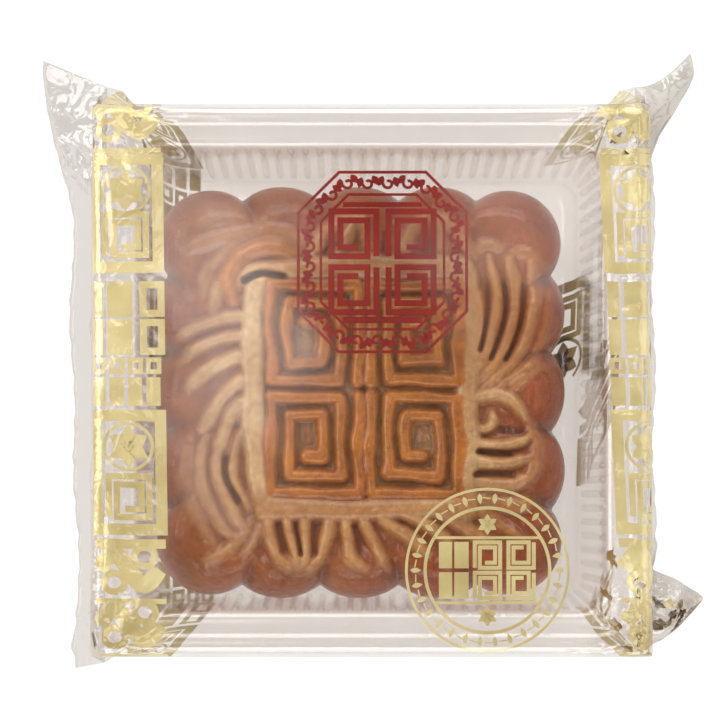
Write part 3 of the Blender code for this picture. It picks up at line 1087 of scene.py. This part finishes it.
def cakeRelief(plainX, plainY):
    # hand-pressed look: the pattern's own plan is bent a little
    x, y = (
        plain + cake["bend"] * rippleField(plainX, plainY, seed, waves=6, shortest=7.0, longest=24.0)
        for plain, seed in ((plainX, 31), (plainY, 32))
    )
    height = np.zeros_like(x)
    masks = {name: np.zeros_like(x) for name in ("ridge", "pale", "orange", "paintedSlotShade", "panel")}

    def raiseMask(name, profile):
        masks[name] = np.maximum(masks[name], profile)

    for spots, halfWidth, rise, palenessAndVeil, orange in petalRidges:
        near, share = lineReach(x, y, smoothLine(px(*spots)))
        endShare = ridgeShape["endShare"]
        ends = smoothStep(0.0, endShare, share) * smoothStep(1.0, 1.0 - endShare, share)
        widths, heights = ridgeShape["endWidth"], ridgeShape["endHeight"]
        reach = halfWidth * (widths[0] + widths[1] * ends)
        rounded = np.cos(np.clip(near / reach, 0.0, 1.0) * quarterTurn) ** ridgeShape["roundness"]
        profile = rounded * (heights[0] + heights[1] * ends)
        height = softUnion(height, rise * profile, ridgeShape["blend"])
        raiseMask("ridge", profile * min(rise / ridgeShape["fullTone"], 1.0))
        raiseMask("pale", profile ** ridgeShape["paleEdge"] * palenessAndVeil)
        raiseMask("orange", profile * orange)
    frameLine = smoothLine(px(*panelFrame["line"]))
    bar = ridgeProfile(lineReach(x, y, frameLine)[0], panelFrame["halfWidth"])
    # the bar is palest at the left, partly lighter baking and partly a painted veil reflection, and browner
    # at the right and the near side
    pale = panelFrame["pale"]
    barPaleAndVeil = pale["middle"] - x / pale["fallOver"] + pale["uneven"] * rippleField(x, y, 12)
    barPaleAndVeil = np.clip(barPaleAndVeil, pale["least"], 1.0)
    for side, place in (("nearSide", y), ("farRight", y + x * 0.5)):
        bounds, loss = panelFrame[side]
        barPaleAndVeil = barPaleAndVeil * (1.0 - loss * smoothStep(*bounds, place))
    height = softUnion(height, panelFrame["height"] * bar, 0.4)
    raiseMask("ridge", bar)
    masks["pale"] = masks["pale"] * (1.0 - bar) + bar * barPaleAndVeil
    masks["orange"] = masks["orange"] * (1.0 - bar)
    for spots, halfWidth, depth in petalSlots:
        near = lineReach(x, y, smoothLine(px(*spots)))[0]
        profile = smoothStep(*slotShape["edge"], near / halfWidth)
        kept = 1.0 - slotShape["clears"] * profile
        height = height * kept - depth * slotShape["cut"] * profile
        for name in ("ridge", "pale", "orange"):
            masks[name] = masks[name] * kept
        # painted shade in the slots, darker where they are deeper
        raiseMask("paintedSlotShade", profile * min(depth / slotShape["fullTone"], 1.0))
    centreX, centreY = px(panelFret["centre"])[0]
    offX, offY = np.abs(x - centreX), np.abs(y - centreY)
    panel = smoothStep(*cake["panelX"], offX) * smoothStep(*cake["panelY"], offY)
    masks["panel"] = panel
    size, *waves = panelFret["uneven"]
    uneven = 1.0 + size * rippleField(x, y, *waves)
    near = lineReach(offX, offY, panelFret["line"])[0]
    profile = ridgeProfile(near * uneven, panelFret["halfWidth"], panelFret["edge"]) * panel
    height = np.maximum(height, panelFret["height"] * profile)
    raiseMask("ridge", profile)
    raiseMask("orange", profile ** 0.7)
    return height, masks


def buildCake():
    plain, lobed, m, gap = cakePlan()
    start = 1.0 - cake["shoulderWidth"] / cake["halfSize"]
    turn = np.clip((m - start) / (1.0 - start), 0.0, 1.0) * quarterTurn
    # ring share after the shoulder's rounding
    ringShare = np.where(m > start, start + (1.0 - start) * np.sin(turn), m)
    toLobes = smoothStep(*cake["lobeBand"], m)[:, :, None]
    safe = np.maximum(m, 1e-6)[:, :, None]
    plan = ((plain / safe) * (1.0 - toLobes) + lobed * toLobes) * ringShare[:, :, None]
    x, y = plan[:, :, 0], plan[:, :, 1]
    relief, masks = cakeRelief(x, y)
    fade = smoothStep(*cake["reliefBand"], m)
    drop = cake["shoulderDrop"] * (1.0 - np.cos(turn))
    groove = np.exp(-(gap / cake["notchWidth"]) ** 2) * smoothStep(*cake["grooveBand"], m)
    shallow = np.exp(-(gap / cake["shallowWidth"]) ** 2) * smoothStep(*cake["shallowBand"], m)
    lobePuff = cake["puff"] * smoothStep(*cake["puffInner"], m) * smoothStep(*cake["puffOuter"], m)
    wave = sum(size * rippleField(x, y, *rest) for size, *rest in cake["waves"])
    carved = relief * fade + lobePuff - cake["grooveDepth"] * groove - cake["shallowDepth"] * shallow
    z = cake["topZ"] + cake["dome"] * (1.0 - m ** 2) - drop + carved + wave
    # relief above its own blur: hollows below it get painted shade, raised tops above it a painted highlight
    lifted = carved - softened(carved, 4)
    for name in masks:
        masks[name] = masks[name] * fade
    # the lobes are redder towards the right
    masks["rim"] = smoothStep(*cake["rimBand"], m) * (0.4 + 0.6 * smoothStep(*cake["redderX"], x))
    # painted shade along the notch grooves between the lobes
    masks["groove"] = groove
    # painted shade in the relief's hollows
    masks["paintedHollowShade"] = np.clip(-lifted / cake["liftScale"], 0.0, 1.0)
    # painted highlight on the relief's raised tops
    masks["paintedRaisedHighlight"] = np.clip(lifted / cake["liftScale"], 0.0, 1.0)
    # border of the grid, once round
    n = cake["gridSteps"] + 1
    border = [i * n for i in range(n)]
    border += [(n - 1) * n + j for j in range(1, n)]
    border += [i * n + n - 1 for i in range(n - 2, -1, -1)]
    border += list(range(n - 2, 0, -1))
    top = np.stack([x, y, z], axis=2).reshape(-1, 3)
    edge, edgeGap = top[border], gap.reshape(-1)[border]
    # straight wall that swells a little and tucks in at the foot
    rows = cake["wallRows"]
    share = (np.arange(1, rows + 1) / rows)[:, None]
    sag = cake["wallSwell"] * np.sin(math.pi * share) - cake["wallTuck"] * share ** 5
    footShare = cake["footShare"]
    foot = cake["footTuck"] * np.maximum((share - (1.0 - footShare)) / footShare, 0.0) ** 2
    scale = 1.0 + (sag - foot) / cake["halfSize"]
    wallZ = edge[:, 2] * (1.0 - share) + cake["baseZ"] * share
    wall = np.stack([edge[:, 0] * scale, edge[:, 1] * scale, wallZ], axis=2).reshape(-1, 3)
    blank = np.zeros((rows, len(border)))
    onWall = {
        "pale": blank + 0.2 * share,
        "rim": masks["rim"].reshape(-1)[border] * (1.0 - 0.35 * share),
        # painted shade down the wall's notch grooves
        "groove": blank + np.exp(-(edgeGap / cake["notchWidth"]) ** 2),
    }
    for name, values in masks.items():
        masks[name] = np.concatenate([values.reshape(-1), onWall.get(name, blank).reshape(-1)])
    rings = border + list(range(len(top), len(top) + len(wall)))
    faces = gridFaces(n, n)
    faces += [tuple(rings[k] for k in face) for face in gridFaces(rows + 1, len(border), closedColumns=True)]
    faces.append(tuple(rings[-len(border):]))
    points = np.concatenate([top, wall]) + np.array([*cake["centre"], 0.0])
    piece = meshPiece("baked_cake", points, faces, crustMaterial())
    facesOut(piece)
    writeMasks(piece, masks)
    settle(piece)
    print("cake:", len(piece.data.polygons), "faces")


# each baked tone is a darker and a lighter colour that the blotches run between
crust = {
    "valley": ((0.32, 0.106, 0.030), (0.48, 0.185, 0.062)),
    "lobe": ((0.31, 0.066, 0.013), (0.47, 0.110, 0.026)),
    "panel": ((0.30, 0.135, 0.040), (0.50, 0.27, 0.105)),
    "line": ((0.46, 0.200, 0.062), (0.64, 0.33, 0.120)),
    "pale": ((0.62, 0.40, 0.18), (0.80, 0.58, 0.31)),
    "orange": ((0.32, 0.080, 0.003), (0.66, 0.225, 0.012)),
    # painted highlight tone for raised tops
    "paintedRaisedHighlight": (0.74, 0.38, 0.11),
    # painted shade tone for slots, notch grooves and hollows
    "paintedSlotShade": (0.125, 0.044, 0.013),
    "baked": (0.66, 0.47, 0.36),
    "specks": (0.50, 0.40, 0.33),
    # blotch scale, grain scale and contrast of the three kinds of unevenness
    "fine": (190.0, 620.0, 2.2),
    "broad": (68.0, 300.0, 3.0),
    "pores": (820.0, 2100.0, 3.2),
    # shares of the baked blotches, the painted highlight on tops, the painted shade in hollows, and the
    # specks
    "bakedShare": 0.55,
    "paintedRaisedHighlightShare": 0.22,
    "paintedHollowShadeShare": 0.22,
    "specksShare": 0.42,
    "roughness": (0.34, 0.56),
    "bump": (0.6, 0.6),
    "poreBump": (0.5, 0.25),
    # tone, the mask that shows it, strength
    "layers": (
        ("lobe", "rim", 1.0), ("panel", "panel", 1.0), ("line", "ridge", 0.8), ("pale", "pale", 1.0),
        # the slot tone is painted shade, laid in the slots and more lightly in the notch grooves
        ("orange", "orange", 1.0), ("paintedSlotShade", "paintedSlotShade", 0.8), ("paintedSlotShade", "groove", 0.32),
    ),
}


def crustMaterial():
    material, tree = newMaterial("bakedCrust")
    uneven, baked, specks = (placeUneven(tree, *crust[kind]) for kind in ("fine", "broad", "pores"))
    base = mixColour(tree, *crust["valley"], uneven["Blotch"])
    for tone, mask, strength in crust["layers"]:
        colour = crust[tone]
        if isinstance(colour[0], tuple):
            colour = mixColour(tree, *colour, uneven["Blotch"])
        base = mixColour(tree, base, colour, maskOf(tree, mask), strength)
    base = mixColour(tree, base, crust["baked"], baked["Blotch"], crust["bakedShare"], "MULTIPLY")
    # painted highlight on the relief's raised tops
    base = mixColour(tree, base, crust["paintedRaisedHighlight"], maskOf(tree, "paintedRaisedHighlight"), crust["paintedRaisedHighlightShare"])
    # painted shade in the relief's hollows
    base = mixColour(tree, base, crust["paintedSlotShade"], maskOf(tree, "paintedHollowShade"), crust["paintedHollowShadeShare"])
    # small pores and specks over the broad blotches
    base = mixColour(tree, base, crust["specks"], specks["Blotch"], crust["specksShare"], "MULTIPLY")
    normal = bumpOn(tree, uneven["Height"], *crust["bump"])
    showShader(tree, put(tree, "ShaderNodeBsdfPrincipled", {
        "Base Color": base,
        "Roughness": spreadRange(tree, uneven["Grain"], *crust["roughness"]),
        "Normal": bumpOn(tree, specks["Blotch"], *crust["poreBump"], normal),
        "IOR": 1.45,
        "Specular IOR Level": 0.35,
        "Coat Weight": 0.6,
        "Coat Roughness": 0.1,
    }))
    return material


buildCake()


# flat shapes for the print

def joinShapes(*shapes):
    points, faces = [], []
    for extraPoints, extraFaces in shapes:
        start = len(points)
        points += extraPoints
        faces += [tuple(i + start for i in face) for face in extraFaces]
    return points, faces


def moveShape(shape, dx, dy, turn=0.0, mirror=1.0):
    c, s = math.cos(turn), math.sin(turn)
    points = [(p[0] * mirror * c - p[1] * s + dx, p[0] * mirror * s + p[1] * c + dy, 0.0) for p in shape[0]]
    return points, shape[1]


def block(x0, y0, x1, y1, step=0.9):
    nx, ny = (max(1, int(math.ceil(abs(size) / step))) for size in (x1 - x0, y1 - y0))
    spots = [(i, j) for i in range(nx + 1) for j in range(ny + 1)]
    points = [(x0 + (x1 - x0) * i / nx, y0 + (y1 - y0) * j / ny, 0.0) for i, j in spots]
    return points, gridFaces(nx + 1, ny + 1)


def openFrame(x0, y0, x1, y1, bar):
    return joinShapes(
        block(x0, y0, x1, y0 + bar),
        block(x0, y1 - bar, x1, y1),
        block(x0, y0 + bar, x0 + bar, y1 - bar),
        block(x1 - bar, y0 + bar, x1, y1 - bar),
    )


def ribbon(spots, width, closed=False, step=0.8):
    # an even band along a line, mitred at its corners
    spots = [np.array(p, dtype=float) for p in spots]
    dense = []
    count = len(spots)
    for k in range(count if closed else count - 1):
        a, b = spots[k], spots[(k + 1) % count]
        pieces = max(1, int(math.ceil(np.linalg.norm(b - a) / step)))
        dense += [a + (b - a) * i / pieces for i in range(pieces)]
    if not closed:
        dense.append(spots[-1])
    points, total = [], len(dense)
    for k, spot in enumerate(dense):
        before = dense[k - 1] if (k > 0 or closed) else spot
        after = dense[(k + 1) % total] if (k < total - 1 or closed) else spot
        first = (spot - before) if np.linalg.norm(spot - before) > 1e-9 else (after - spot)
        second = (after - spot) if np.linalg.norm(after - spot) > 1e-9 else first
        first, second = first / np.linalg.norm(first), second / np.linalg.norm(second)
        tangent = first + second
        tangent = tangent / max(np.linalg.norm(tangent), 1e-6)
        stretch = 1.0 / max(abs(float(np.dot(tangent, first))), 0.5)
        side = np.array([-tangent[1], tangent[0]]) * width / 2.0 * stretch
        points += [(*(spot + side), 0.0), (*(spot - side), 0.0)]
    faces = []
    for k in range(total if closed else total - 1):
        a, b = 2 * k, 2 * ((k + 1) % total)
        faces.append((a, a + 1, b + 1, b))
    return points, faces


def ring(cx, cy, radiusX, radiusY, count):
    angles = [2.0 * math.pi * k / count for k in range(count)]
    return [(cx + radiusX * math.cos(angle), cy + radiusY * math.sin(angle)) for angle in angles]


def petal(length, width, steps=8):
    # pointed leaf from the origin along +y
    points = []
    for k in range(steps + 1):
        t = k / steps
        half = width / 2.0 * math.sin(math.pi * t ** 0.85)
        points += [(-half, t * length, 0.0), (0.0, t * length, 0.0), (half, t * length, 0.0)]
    return points, gridFaces(steps + 1, 3)


def flower(radius, petals, width):
    leaf = petal(radius, width)
    return joinShapes(*(moveShape(leaf, 0.0, 0.0, 2.0 * math.pi * k / petals) for k in range(petals)))


def meander(size, width, turns=2):
    # square spiral that winds inwards from a lower left corner
    gap = size / (2.0 * turns + 1.0)
    line = [(0.0, 0.0)]
    for turn in range(turns):
        near, far = turn * gap, size - turn * gap
        line += [(near, far), (far, far), (far, near), (near + gap, near)]
    return ribbon([(x - size / 2.0, y - size / 2.0) for x, y in line], width)


printLook = {"uneven": (75.0, 1800.0, 2.0), "smoother": 0.06, "rougher": 0.08, "bump": (0.4, 0.15)}


def printInk(name, low, high, metal, roughness):
    material, tree = newMaterial(name)
    uneven = placeUneven(tree, *printLook["uneven"])
    ends = roughness - printLook["smoother"], roughness + printLook["rougher"]
    showShader(tree, put(tree, "ShaderNodeBsdfPrincipled", {
        "Base Color": mixColour(tree, low, high, uneven["Blotch"]),
        "Roughness": spreadRange(tree, uneven["Grain"], *ends),
        "Normal": bumpOn(tree, uneven["Height"], *printLook["bump"]),
        "Metallic": metal,
        "Specular IOR Level": 0.12,
    }))
    return material


goldInk = printInk("goldInk", (0.54, 0.43, 0.17), (0.96, 0.84, 0.45), 0.35, 0.38)
# brown ink, for print on the right ear and for strips of painted shade
brownInkAndShade = printInk("brownInkAndShade", (0.13, 0.060, 0.016), (0.40, 0.27, 0.10), 0.3, 0.4)
redInk = printInk("redInk", (0.17, 0.008, 0.006), (0.30, 0.020, 0.012), 0.0, 0.5)


def layOnFilm(name, shape, material, slant=0.0, lift=0.06, longest=1.6):
    # cuts long edges, then lays flat print shapes on the film
    work = bmesh.new()
    verts = [work.verts.new((p[0], p[1], 0.0)) for p in shape[0]]
    for face in shape[1]:
        work.faces.new([verts[i] for i in face])
    for _ in range(3):
        long = [e for e in work.edges if e.calc_length() > longest]
        if not long:
            break
        bmesh.ops.subdivide_edges(work, edges=long, cuts=1, use_grid_fill=True)
    bmesh.ops.triangulate(work, faces=work.faces[:])
    work.verts.index_update()
    points = [onFilm(v.co.x - slant * v.co.y, v.co.y, lift) for v in work.verts]
    faces = []
    for face in work.faces:
        # print faces look out of the bag
        corners = tuple(v.index for v in face.verts)
        a, b, c = (points[i] for i in corners)
        away = (a + b + c) / 3.0 - np.array([0.0, 0.0, film["sealZ"]])
        faces.append(corners if float(np.dot(np.cross(b - a, c - a), away)) > 0.0 else corners[::-1])
    work.free()
    piece = meshPiece(name, points, faces, material)
    settle(piece)
    print(name + ":", len(faces), "faces")


# gold columns, one near each end, the same unit again and again round the bag

column = {
    "width": 13.9,
    "bar": 2.1,
    "unitLength": 92.6,
    "repeats": 3,
    "frames": ((19.3, 41.2), (-28.4, -5.6)),
    "plainBlocks": ((11.3, 17.8), (4.4, 10.9)),
    "plainBlockX": ((0.3, 2.5), (3.4, 8.0)),
    "plainFrame": {"left": 9.3, "bar": 1.3},
    "fret": {"size": 7.4, "line": 1.15, "lift": 4.9},
    "bloom": {"radius": 3.9, "petals": 6, "width": 2.7, "drop": 4.6},
    "hoop": {"radii": (4.4, 4.2), "steps": 40, "line": 0.6},
    "smallBlocks": {"count": 4, "start": 0.3, "pitch": 3.35, "width": 2.6, "y": (-4.9, 0.3)},
    "smallFrames": {"width": 2.8, "y": (0.9, 3.9), "bar": 0.85},
    "scrolls": (-49.6, -39.6),
    "scrollWave": {"x": 1.2, "length": 11.0, "y": 5.0, "height": 2.7, "line": 3.1, "steps": 25},
    "scrollCurls": {"places": ((4.0, 2.6), (9.6, 7.3)), "radii": (1.9, 1.7), "steps": 24, "line": 1.2},
    "scrollBar": (8.8, 9.7),
    "barInset": 0.4,
    "thinBars": ((-29.9, -29.1), (-51.3, -50.4)),
    # name, inner edge, slant, stretch under the bag without print
    "places": (("gold_column_left", -51.3, 0.0163, None), ("gold_column_right", 43.3, 0.0424, (86.0, 111.0))),
    "farthest": 131.0,  # the two ends of the print meet under the bag
}


def columnUnit():
    # blocks and frames of one unit, x from 0 to the column's width, y as along the bag's top
    width, bar = column["width"], column["bar"]
    middle, inset = width / 2.0, column["barInset"]
    fret, bloom, hoop = column["fret"], column["bloom"], column["hoop"]
    parts = []
    for low, high in column["frames"]:
        bloomY = high - bar - bloom["drop"]
        circle = ribbon(ring(0, 0, *hoop["radii"], hoop["steps"]), hoop["line"], closed=True)
        parts += [
            openFrame(0.0, low, width, high, bar),
            moveShape(meander(fret["size"], fret["line"]), middle, low + bar + fret["lift"]),
            moveShape(flower(bloom["radius"], bloom["petals"], bloom["width"]), middle, bloomY),
            moveShape(circle, middle, bloomY),
        ]
    plain = column["plainFrame"]
    for low, high in column["plainBlocks"]:
        parts += [block(left, low, right, high) for left, right in column["plainBlockX"]]
        parts.append(openFrame(plain["left"], low, width, high, plain["bar"]))
    small, frames = column["smallBlocks"], column["smallFrames"]
    for k in range(small["count"]):
        left = small["start"] + k * small["pitch"]
        parts.append(openFrame(left, frames["y"][0], left + frames["width"], frames["y"][1], frames["bar"]))
        parts.append(block(left, small["y"][0], left + small["width"], small["y"][1]))
    # scrolls between the lower frame of one unit and the upper frame of the next
    wave, curls = column["scrollWave"], column["scrollCurls"]
    for low in column["scrolls"]:
        line = []
        for t in np.linspace(0.0, 1.0, wave["steps"]):
            swing = wave["height"] * math.sin(2.0 * math.pi * t)
            line.append((wave["x"] + wave["length"] * t, low + wave["y"] + swing))
        parts.append(ribbon(line, wave["line"]))
        for x, y in curls["places"]:
            curl = ring(x, low + y, *curls["radii"], curls["steps"])
            parts.append(ribbon(curl, curls["line"], closed=True))
        barLow, barHigh = column["scrollBar"]
        parts.append(block(inset, low + barLow, width - inset, low + barHigh))
    parts += [block(inset, low, width - inset, high) for low, high in column["thinBars"]]
    return joinShapes(*parts)


def buildColumns():
    # the path runs across the bag, and each motif is turned back to stand upright on it
    span = column["unitLength"] * (column["repeats"] - 1) / 2.0
    upright = moveShape(columnUnit(), 0.0, 0.0, -quarterTurn)
    for name, inner, slant, bare in column["places"]:
        path = [(0.0, -span), (0.0, span)]
        row = strew(name + "Row", path, upright, column["repeats"], goldInk, closed=False)
        points, faces = takeShape(row)
        points = [(p[0] + inner, p[1], p[2]) for p in points]
        reach = [abs(p[1]) for p in points]
        faces = [f for f in faces if all(reach[i] < column["farthest"] for i in f)]
        if bare:
            faces = [f for f in faces if not any(bare[0] < reach[i] < bare[1] for i in f)]
        layOnFilm(name, (points, faces), goldInk, slant)


# uneven scraps of print where the bag is gathered, and thin strips of painted shade: place along and round
# the bag, size, stretch, turn, seed
goldScraps = (
    (48.8, -34.6, 2.6, 1.2, 0.1, 1), (49.2, -40.7, 2.6, 1.15, -0.1, 2), (48.6, -46.4, 2.3, 1.1, 0.2, 3),
    (49.5, 46.5, 2.4, 1.3, -0.3, 5), (79.0, -51.0, 0.9, 2.0, 0.5, 6),
    (80.6, -53.6, 0.8, 1.9, 1.2, 7), (76.4, -53.2, 0.9, 1.6, 1.0, 8),
)
# brown patches on the right ear are print; the thin strips along the shoulders and by the right column are
# painted shade and a painted dark reflection of the gold ink
brownPrintAndShade = (
    (77.8, -48.6, 1.0, 2.4, 0.1, 11), (79.6, -55.2, 1.0, 2.0, 0.6, 12), (78.2, -53.0, 0.9, 1.7, 1.1, 13),
    (74.8, -51.4, 1.2, 1.7, 0.7, 14), (72.6, -49.4, 1.0, 1.8, -0.3, 15), (77.6, -56.2, 1.0, 1.5, 1.5, 16),
    (43.6, -32.5, 0.9, 2.4, 0.3, 17), (42.6, -39.0, 0.7, 2.2, 0.7, 18), (44.2, -44.6, 0.8, 2.6, 0.8, 19),
    (46.6, -49.4, 0.8, 2.2, 1.3, 20), (44.8, 44.2, 0.7, 2.2, -0.8, 21), (51.2, 40.0, 0.6, 3.4, 0.0, 22),
    (-51.6, 43.0, 0.55, 4.6, 0.0, 23), (-51.8, 31.0, 0.5, 4.2, 0.0, 24), (-50.8, -47.0, 0.7, 2.6, 0.4, 25),
    (51.6, -22.0, 0.5, 4.4, 0.0, 26), (51.8, 6.0, 0.5, 4.0, 0.0, 27),
)


def scrap(size, stretch, seed, count=16):
    # small uneven patch, a fan of faces round its middle
    reach = size * np.random.default_rng(seed).uniform(0.5, 1.15, count)
    points = [(0.0, 0.0, 0.0)]
    for k in range(count):
        angle = 2.0 * math.pi * k / count
        points.append((reach[k] * math.cos(angle), reach[k] * stretch * math.sin(angle), 0.0))
    return points, [(0, 1 + k, 1 + (k + 1) % count) for k in range(count)]


def buildScraps():
    for name, rows, ink in (("gold_scraps", goldScraps, goldInk), ("brown_scraps", brownPrintAndShade, brownInkAndShade)):
        shapes = []
        for a, s, size, stretch, turn, seed in rows:
            shapes.append(moveShape(scrap(size, stretch, seed), a, s, turn))
        layOnFilm(name, joinShapes(*shapes), ink, lift=0.14, longest=0.9)


# dark red medallion over the cake's far half, and a gold round one near the front right

medallion = {
    "centre": (2.0, 21.3),
    "halfX": 15.3,
    "halfY": 16.4,
    "cut": 7.4,
    "band": 4.1,
    "outerLine": 0.55,
    "innerLine": 0.5,
    "scrolls": 26,
    "curl": {"line": 0.55, "turn": 5.4, "tightens": 9.0, "steps": 16},
    "leaf": {"length": 2.1, "width": 1.3, "x": 1.0, "y": -1.3, "turn": 0.4},
    "fret": {"size": 8.2, "line": 1.12, "x": 5.2, "y": 5.1},
    "barHalf": 7.2,
    "bars": ((-11.2, -10.0), (10.0, 10.9)),
}
goldRound = {
    "centre": (21.0, -34.7),
    "outer": 14.7,
    "inner": 11.3,
    "chord": 5.9,
    "line": 0.5,
    "innerLine": 0.6,
    "beads": 30,
    "bead": {"leaf": (2.0, 0.95, 5), "link": (0.7, 0.12), "gap": 1.5},
    "rows": (-2.75, 2.75),
    "blooms": (-8.3, 8.3),
    "bloom": (1.9, 6, 1.15),
    "squares": ((-8.8, -6.4), (-6.0, -3.4)),
    "squareHalf": 2.4,
    "fret": (4.6, 0.72),
    "fretX": 6.1,
}


def medallionLine(shrink):
    # eight-sided plaque, drawn in evenly
    halfX, halfY = medallion["halfX"] - shrink, medallion["halfY"] - shrink
    cut = medallion["cut"] - shrink * (2.0 - math.sqrt(2.0))
    corners = []
    for sx, sy in ((1, 1), (-1, 1), (-1, -1), (1, -1)):
        pair = [(sx * halfX, sy * (halfY - cut)), (sx * (halfX - cut), sy * halfY)]
        corners += pair if sx * sy > 0 else pair[::-1]
    return corners


def buildMedallion():
    band = medallion["band"]
    parts = [
        ribbon(medallionLine(0.0), medallion["outerLine"], closed=True),
        ribbon(medallionLine(band), medallion["innerLine"], closed=True),
    ]
    curl, line = medallion["curl"], []
    for angle in np.linspace(0.0, curl["turn"], curl["steps"]):
        size = 1.0 - angle / curl["tightens"]
        line.append((math.cos(angle) * size, math.sin(angle) * size))
    leaf, fret, barHalf = medallion["leaf"], medallion["fret"], medallion["barHalf"]
    scroll = [ribbon(line, curl["line"])]
    for side in (1.0, -1.0):
        shape = petal(leaf["length"], leaf["width"])
        scroll.append(moveShape(shape, side * leaf["x"], leaf["y"], -side * leaf["turn"]))
    middleLine = medallionLine(band / 2.0)
    row = strew("scrollBand", middleLine, joinShapes(*scroll), medallion["scrolls"], redInk)
    parts.append(takeShape(row))
    for sx in (1.0, -1.0):
        for sy in (1.0, -1.0):
            spiral = meander(fret["size"], fret["line"])
            spiral = moveShape(spiral, 0.0, 0.0, 0.0 if sy > 0 else math.pi, mirror=sx * sy)
            parts.append(moveShape(spiral, fret["x"] * sx, fret["y"] * sy))
    parts += [block(-barHalf, low, barHalf, high) for low, high in medallion["bars"]]
    layOnFilm("red_medallion", moveShape(joinShapes(*parts), *medallion["centre"]), redInk)


def buildGoldRound():
    outer, inner, chord = goldRound["outer"], goldRound["inner"], goldRound["chord"]
    reach = math.sqrt(inner ** 2 - chord ** 2)
    middle, line, half = (outer + inner) / 2.0, goldRound["line"], goldRound["squareHalf"]
    bead = goldRound["bead"]
    linkX, linkY = bead["link"]
    leaf, link = petal(*bead["leaf"]), block(-linkX, -linkY, linkX, linkY)
    bead = joinShapes(moveShape(leaf, 0.0, -1.0), moveShape(link, bead["gap"], 0.0))
    beads = strew("beadBand", ring(0, 0, middle, middle, 120), bead, goldRound["beads"], goldInk)
    parts = [
        ribbon(ring(0, 0, outer, outer, 120), line, closed=True),
        ribbon(ring(0, 0, inner, inner, 108), goldRound["innerLine"], closed=True),
        ribbon([(-reach, chord), (reach, chord)], line),
        ribbon([(-reach, -chord), (reach, -chord)], line),
        takeShape(beads),
    ]
    # small squares between the two chords, the left ones solid, and a flower beyond each chord
    for row, bloomY in zip(goldRound["rows"], goldRound["blooms"]):
        parts += [block(left, row - half, right, row + half) for left, right in goldRound["squares"]]
        parts += [
            moveShape(meander(*goldRound["fret"]), 0.0, row),
            moveShape(meander(*goldRound["fret"]), goldRound["fretX"], row, math.pi),
            moveShape(flower(*goldRound["bloom"]), 0.0, bloomY),
        ]
    layOnFilm("gold_round", moveShape(joinShapes(*parts), *goldRound["centre"]), goldInk)


buildColumns()
buildScraps()
buildMedallion()
buildGoldRound()
print("print: columns, medallion and round ready")


# floor, light and camera; lamps in metres

veilTone = (1.0, 0.93, 0.91)
view = {"aim": (-2.09, 3.45, 38.6), "elevation": 87.5, "distance": 560.0, "lens": 154.0, "sensor": 36.0}
studio = {
    "floor": {"size": 3.0, "z": -0.0004, "tone": 0.12, "glow": 0.93},
    "world": {"tone": (1.0, 0.99, 0.98), "strength": 0.08},
    "aim": (0.0, 0.0, 0.03),
    # soft lamps, low enough to miss the flat film's mirror: name, place, size, power
    "soft": (
        ("sideLeft", (-1.5, 0.4, 1.1), (1.5, 1.5), 27.0),
        ("sideRight", (1.5, 0.1, 1.0), (1.6, 1.6), 12.0),
        ("front", (0.1, -1.6, 1.0), (2.0, 1.3), 29.0),
        ("back", (0.0, 1.5, 1.0), (1.8, 1.4), 28.0),
    ),
    # small lamps that look straight down and veil the film's left and far parts
    "veil": (
        ("veilLeft", (-0.118, 0.10, 1.2), (0.104, 0.18), 0.265, veilTone),
        ("veilLow", (-0.125, -0.025, 1.2), (0.09, 0.07), 0.055, veilTone),
        ("veilFar", (0.118, 0.155, 1.2), (0.105, 0.078), 0.064, (1.0, 0.94, 0.91)),
    ),
}


def buildFloor():
    look = studio["floor"]
    shape = bmesh.new()
    bmesh.ops.create_grid(shape, x_segments=2, y_segments=2, size=look["size"])
    data = bpy.data.meshes.new("studio_floor")
    shape.to_mesh(data)
    shape.free()
    material, tree = newMaterial("paleFloor")
    # a light table: the sheet also glows evenly from below
    showShader(tree, put(tree, "ShaderNodeBsdfPrincipled", {
        "Base Color": rgba([look["tone"]] * 3),
        "Roughness": 0.9,
        "Specular IOR Level": 0.0,
        "Emission Color": (1.0, 1.0, 1.0, 1.0),
        "Emission Strength": look["glow"],
    }))
    data.materials.append(material)
    floor = linkObject("studio_floor", data)
    floor.location = (0.0, 0.0, look["z"])


def areaLight(name, spot, aim, size, power, colour=(1.0, 1.0, 1.0)):
    data = bpy.data.lights.new(name, "AREA")
    data.shape = "RECTANGLE"
    data.size, data.size_y = size
    data.energy = power
    data.color = colour
    lamp = linkObject(name, data)
    lamp.location = spot
    lamp.rotation_euler = (Vector(aim) - Vector(spot)).to_track_quat("-Z", "Y").to_euler()


def buildLights():
    for name, spot, size, power in studio["soft"]:
        areaLight(name, spot, studio["aim"], size, power)
    for name, spot, size, power, colour in studio["veil"]:
        areaLight(name, spot, (spot[0], spot[1], 0.0), size, power, colour)
    world = bpy.data.worlds.new("softRoom")
    world.use_nodes = True
    sky = world.node_tree.nodes["Background"]
    sky.inputs["Color"].default_value = rgba(studio["world"]["tone"])
    sky.inputs["Strength"].default_value = studio["world"]["strength"]
    bpy.context.scene.world = world


def buildCamera():
    data = bpy.data.cameras.new("photoView")
    data.lens = view["lens"]
    data.sensor_width = view["sensor"]
    data.clip_start = 0.01
    data.clip_end = 20.0
    tilt = math.radians(view["elevation"])
    away = Vector((0.0, -math.cos(tilt), math.sin(tilt))) * view["distance"] * mm
    camera = linkObject("photoView", data)
    camera.location = Vector(view["aim"]) * mm + away
    camera.rotation_euler = (-away).to_track_quat("-Z", "Y").to_euler()
    bpy.context.scene.camera = camera


buildFloor()
buildLights()
buildCamera()
bpy.context.scene.view_settings.view_transform = "Standard"
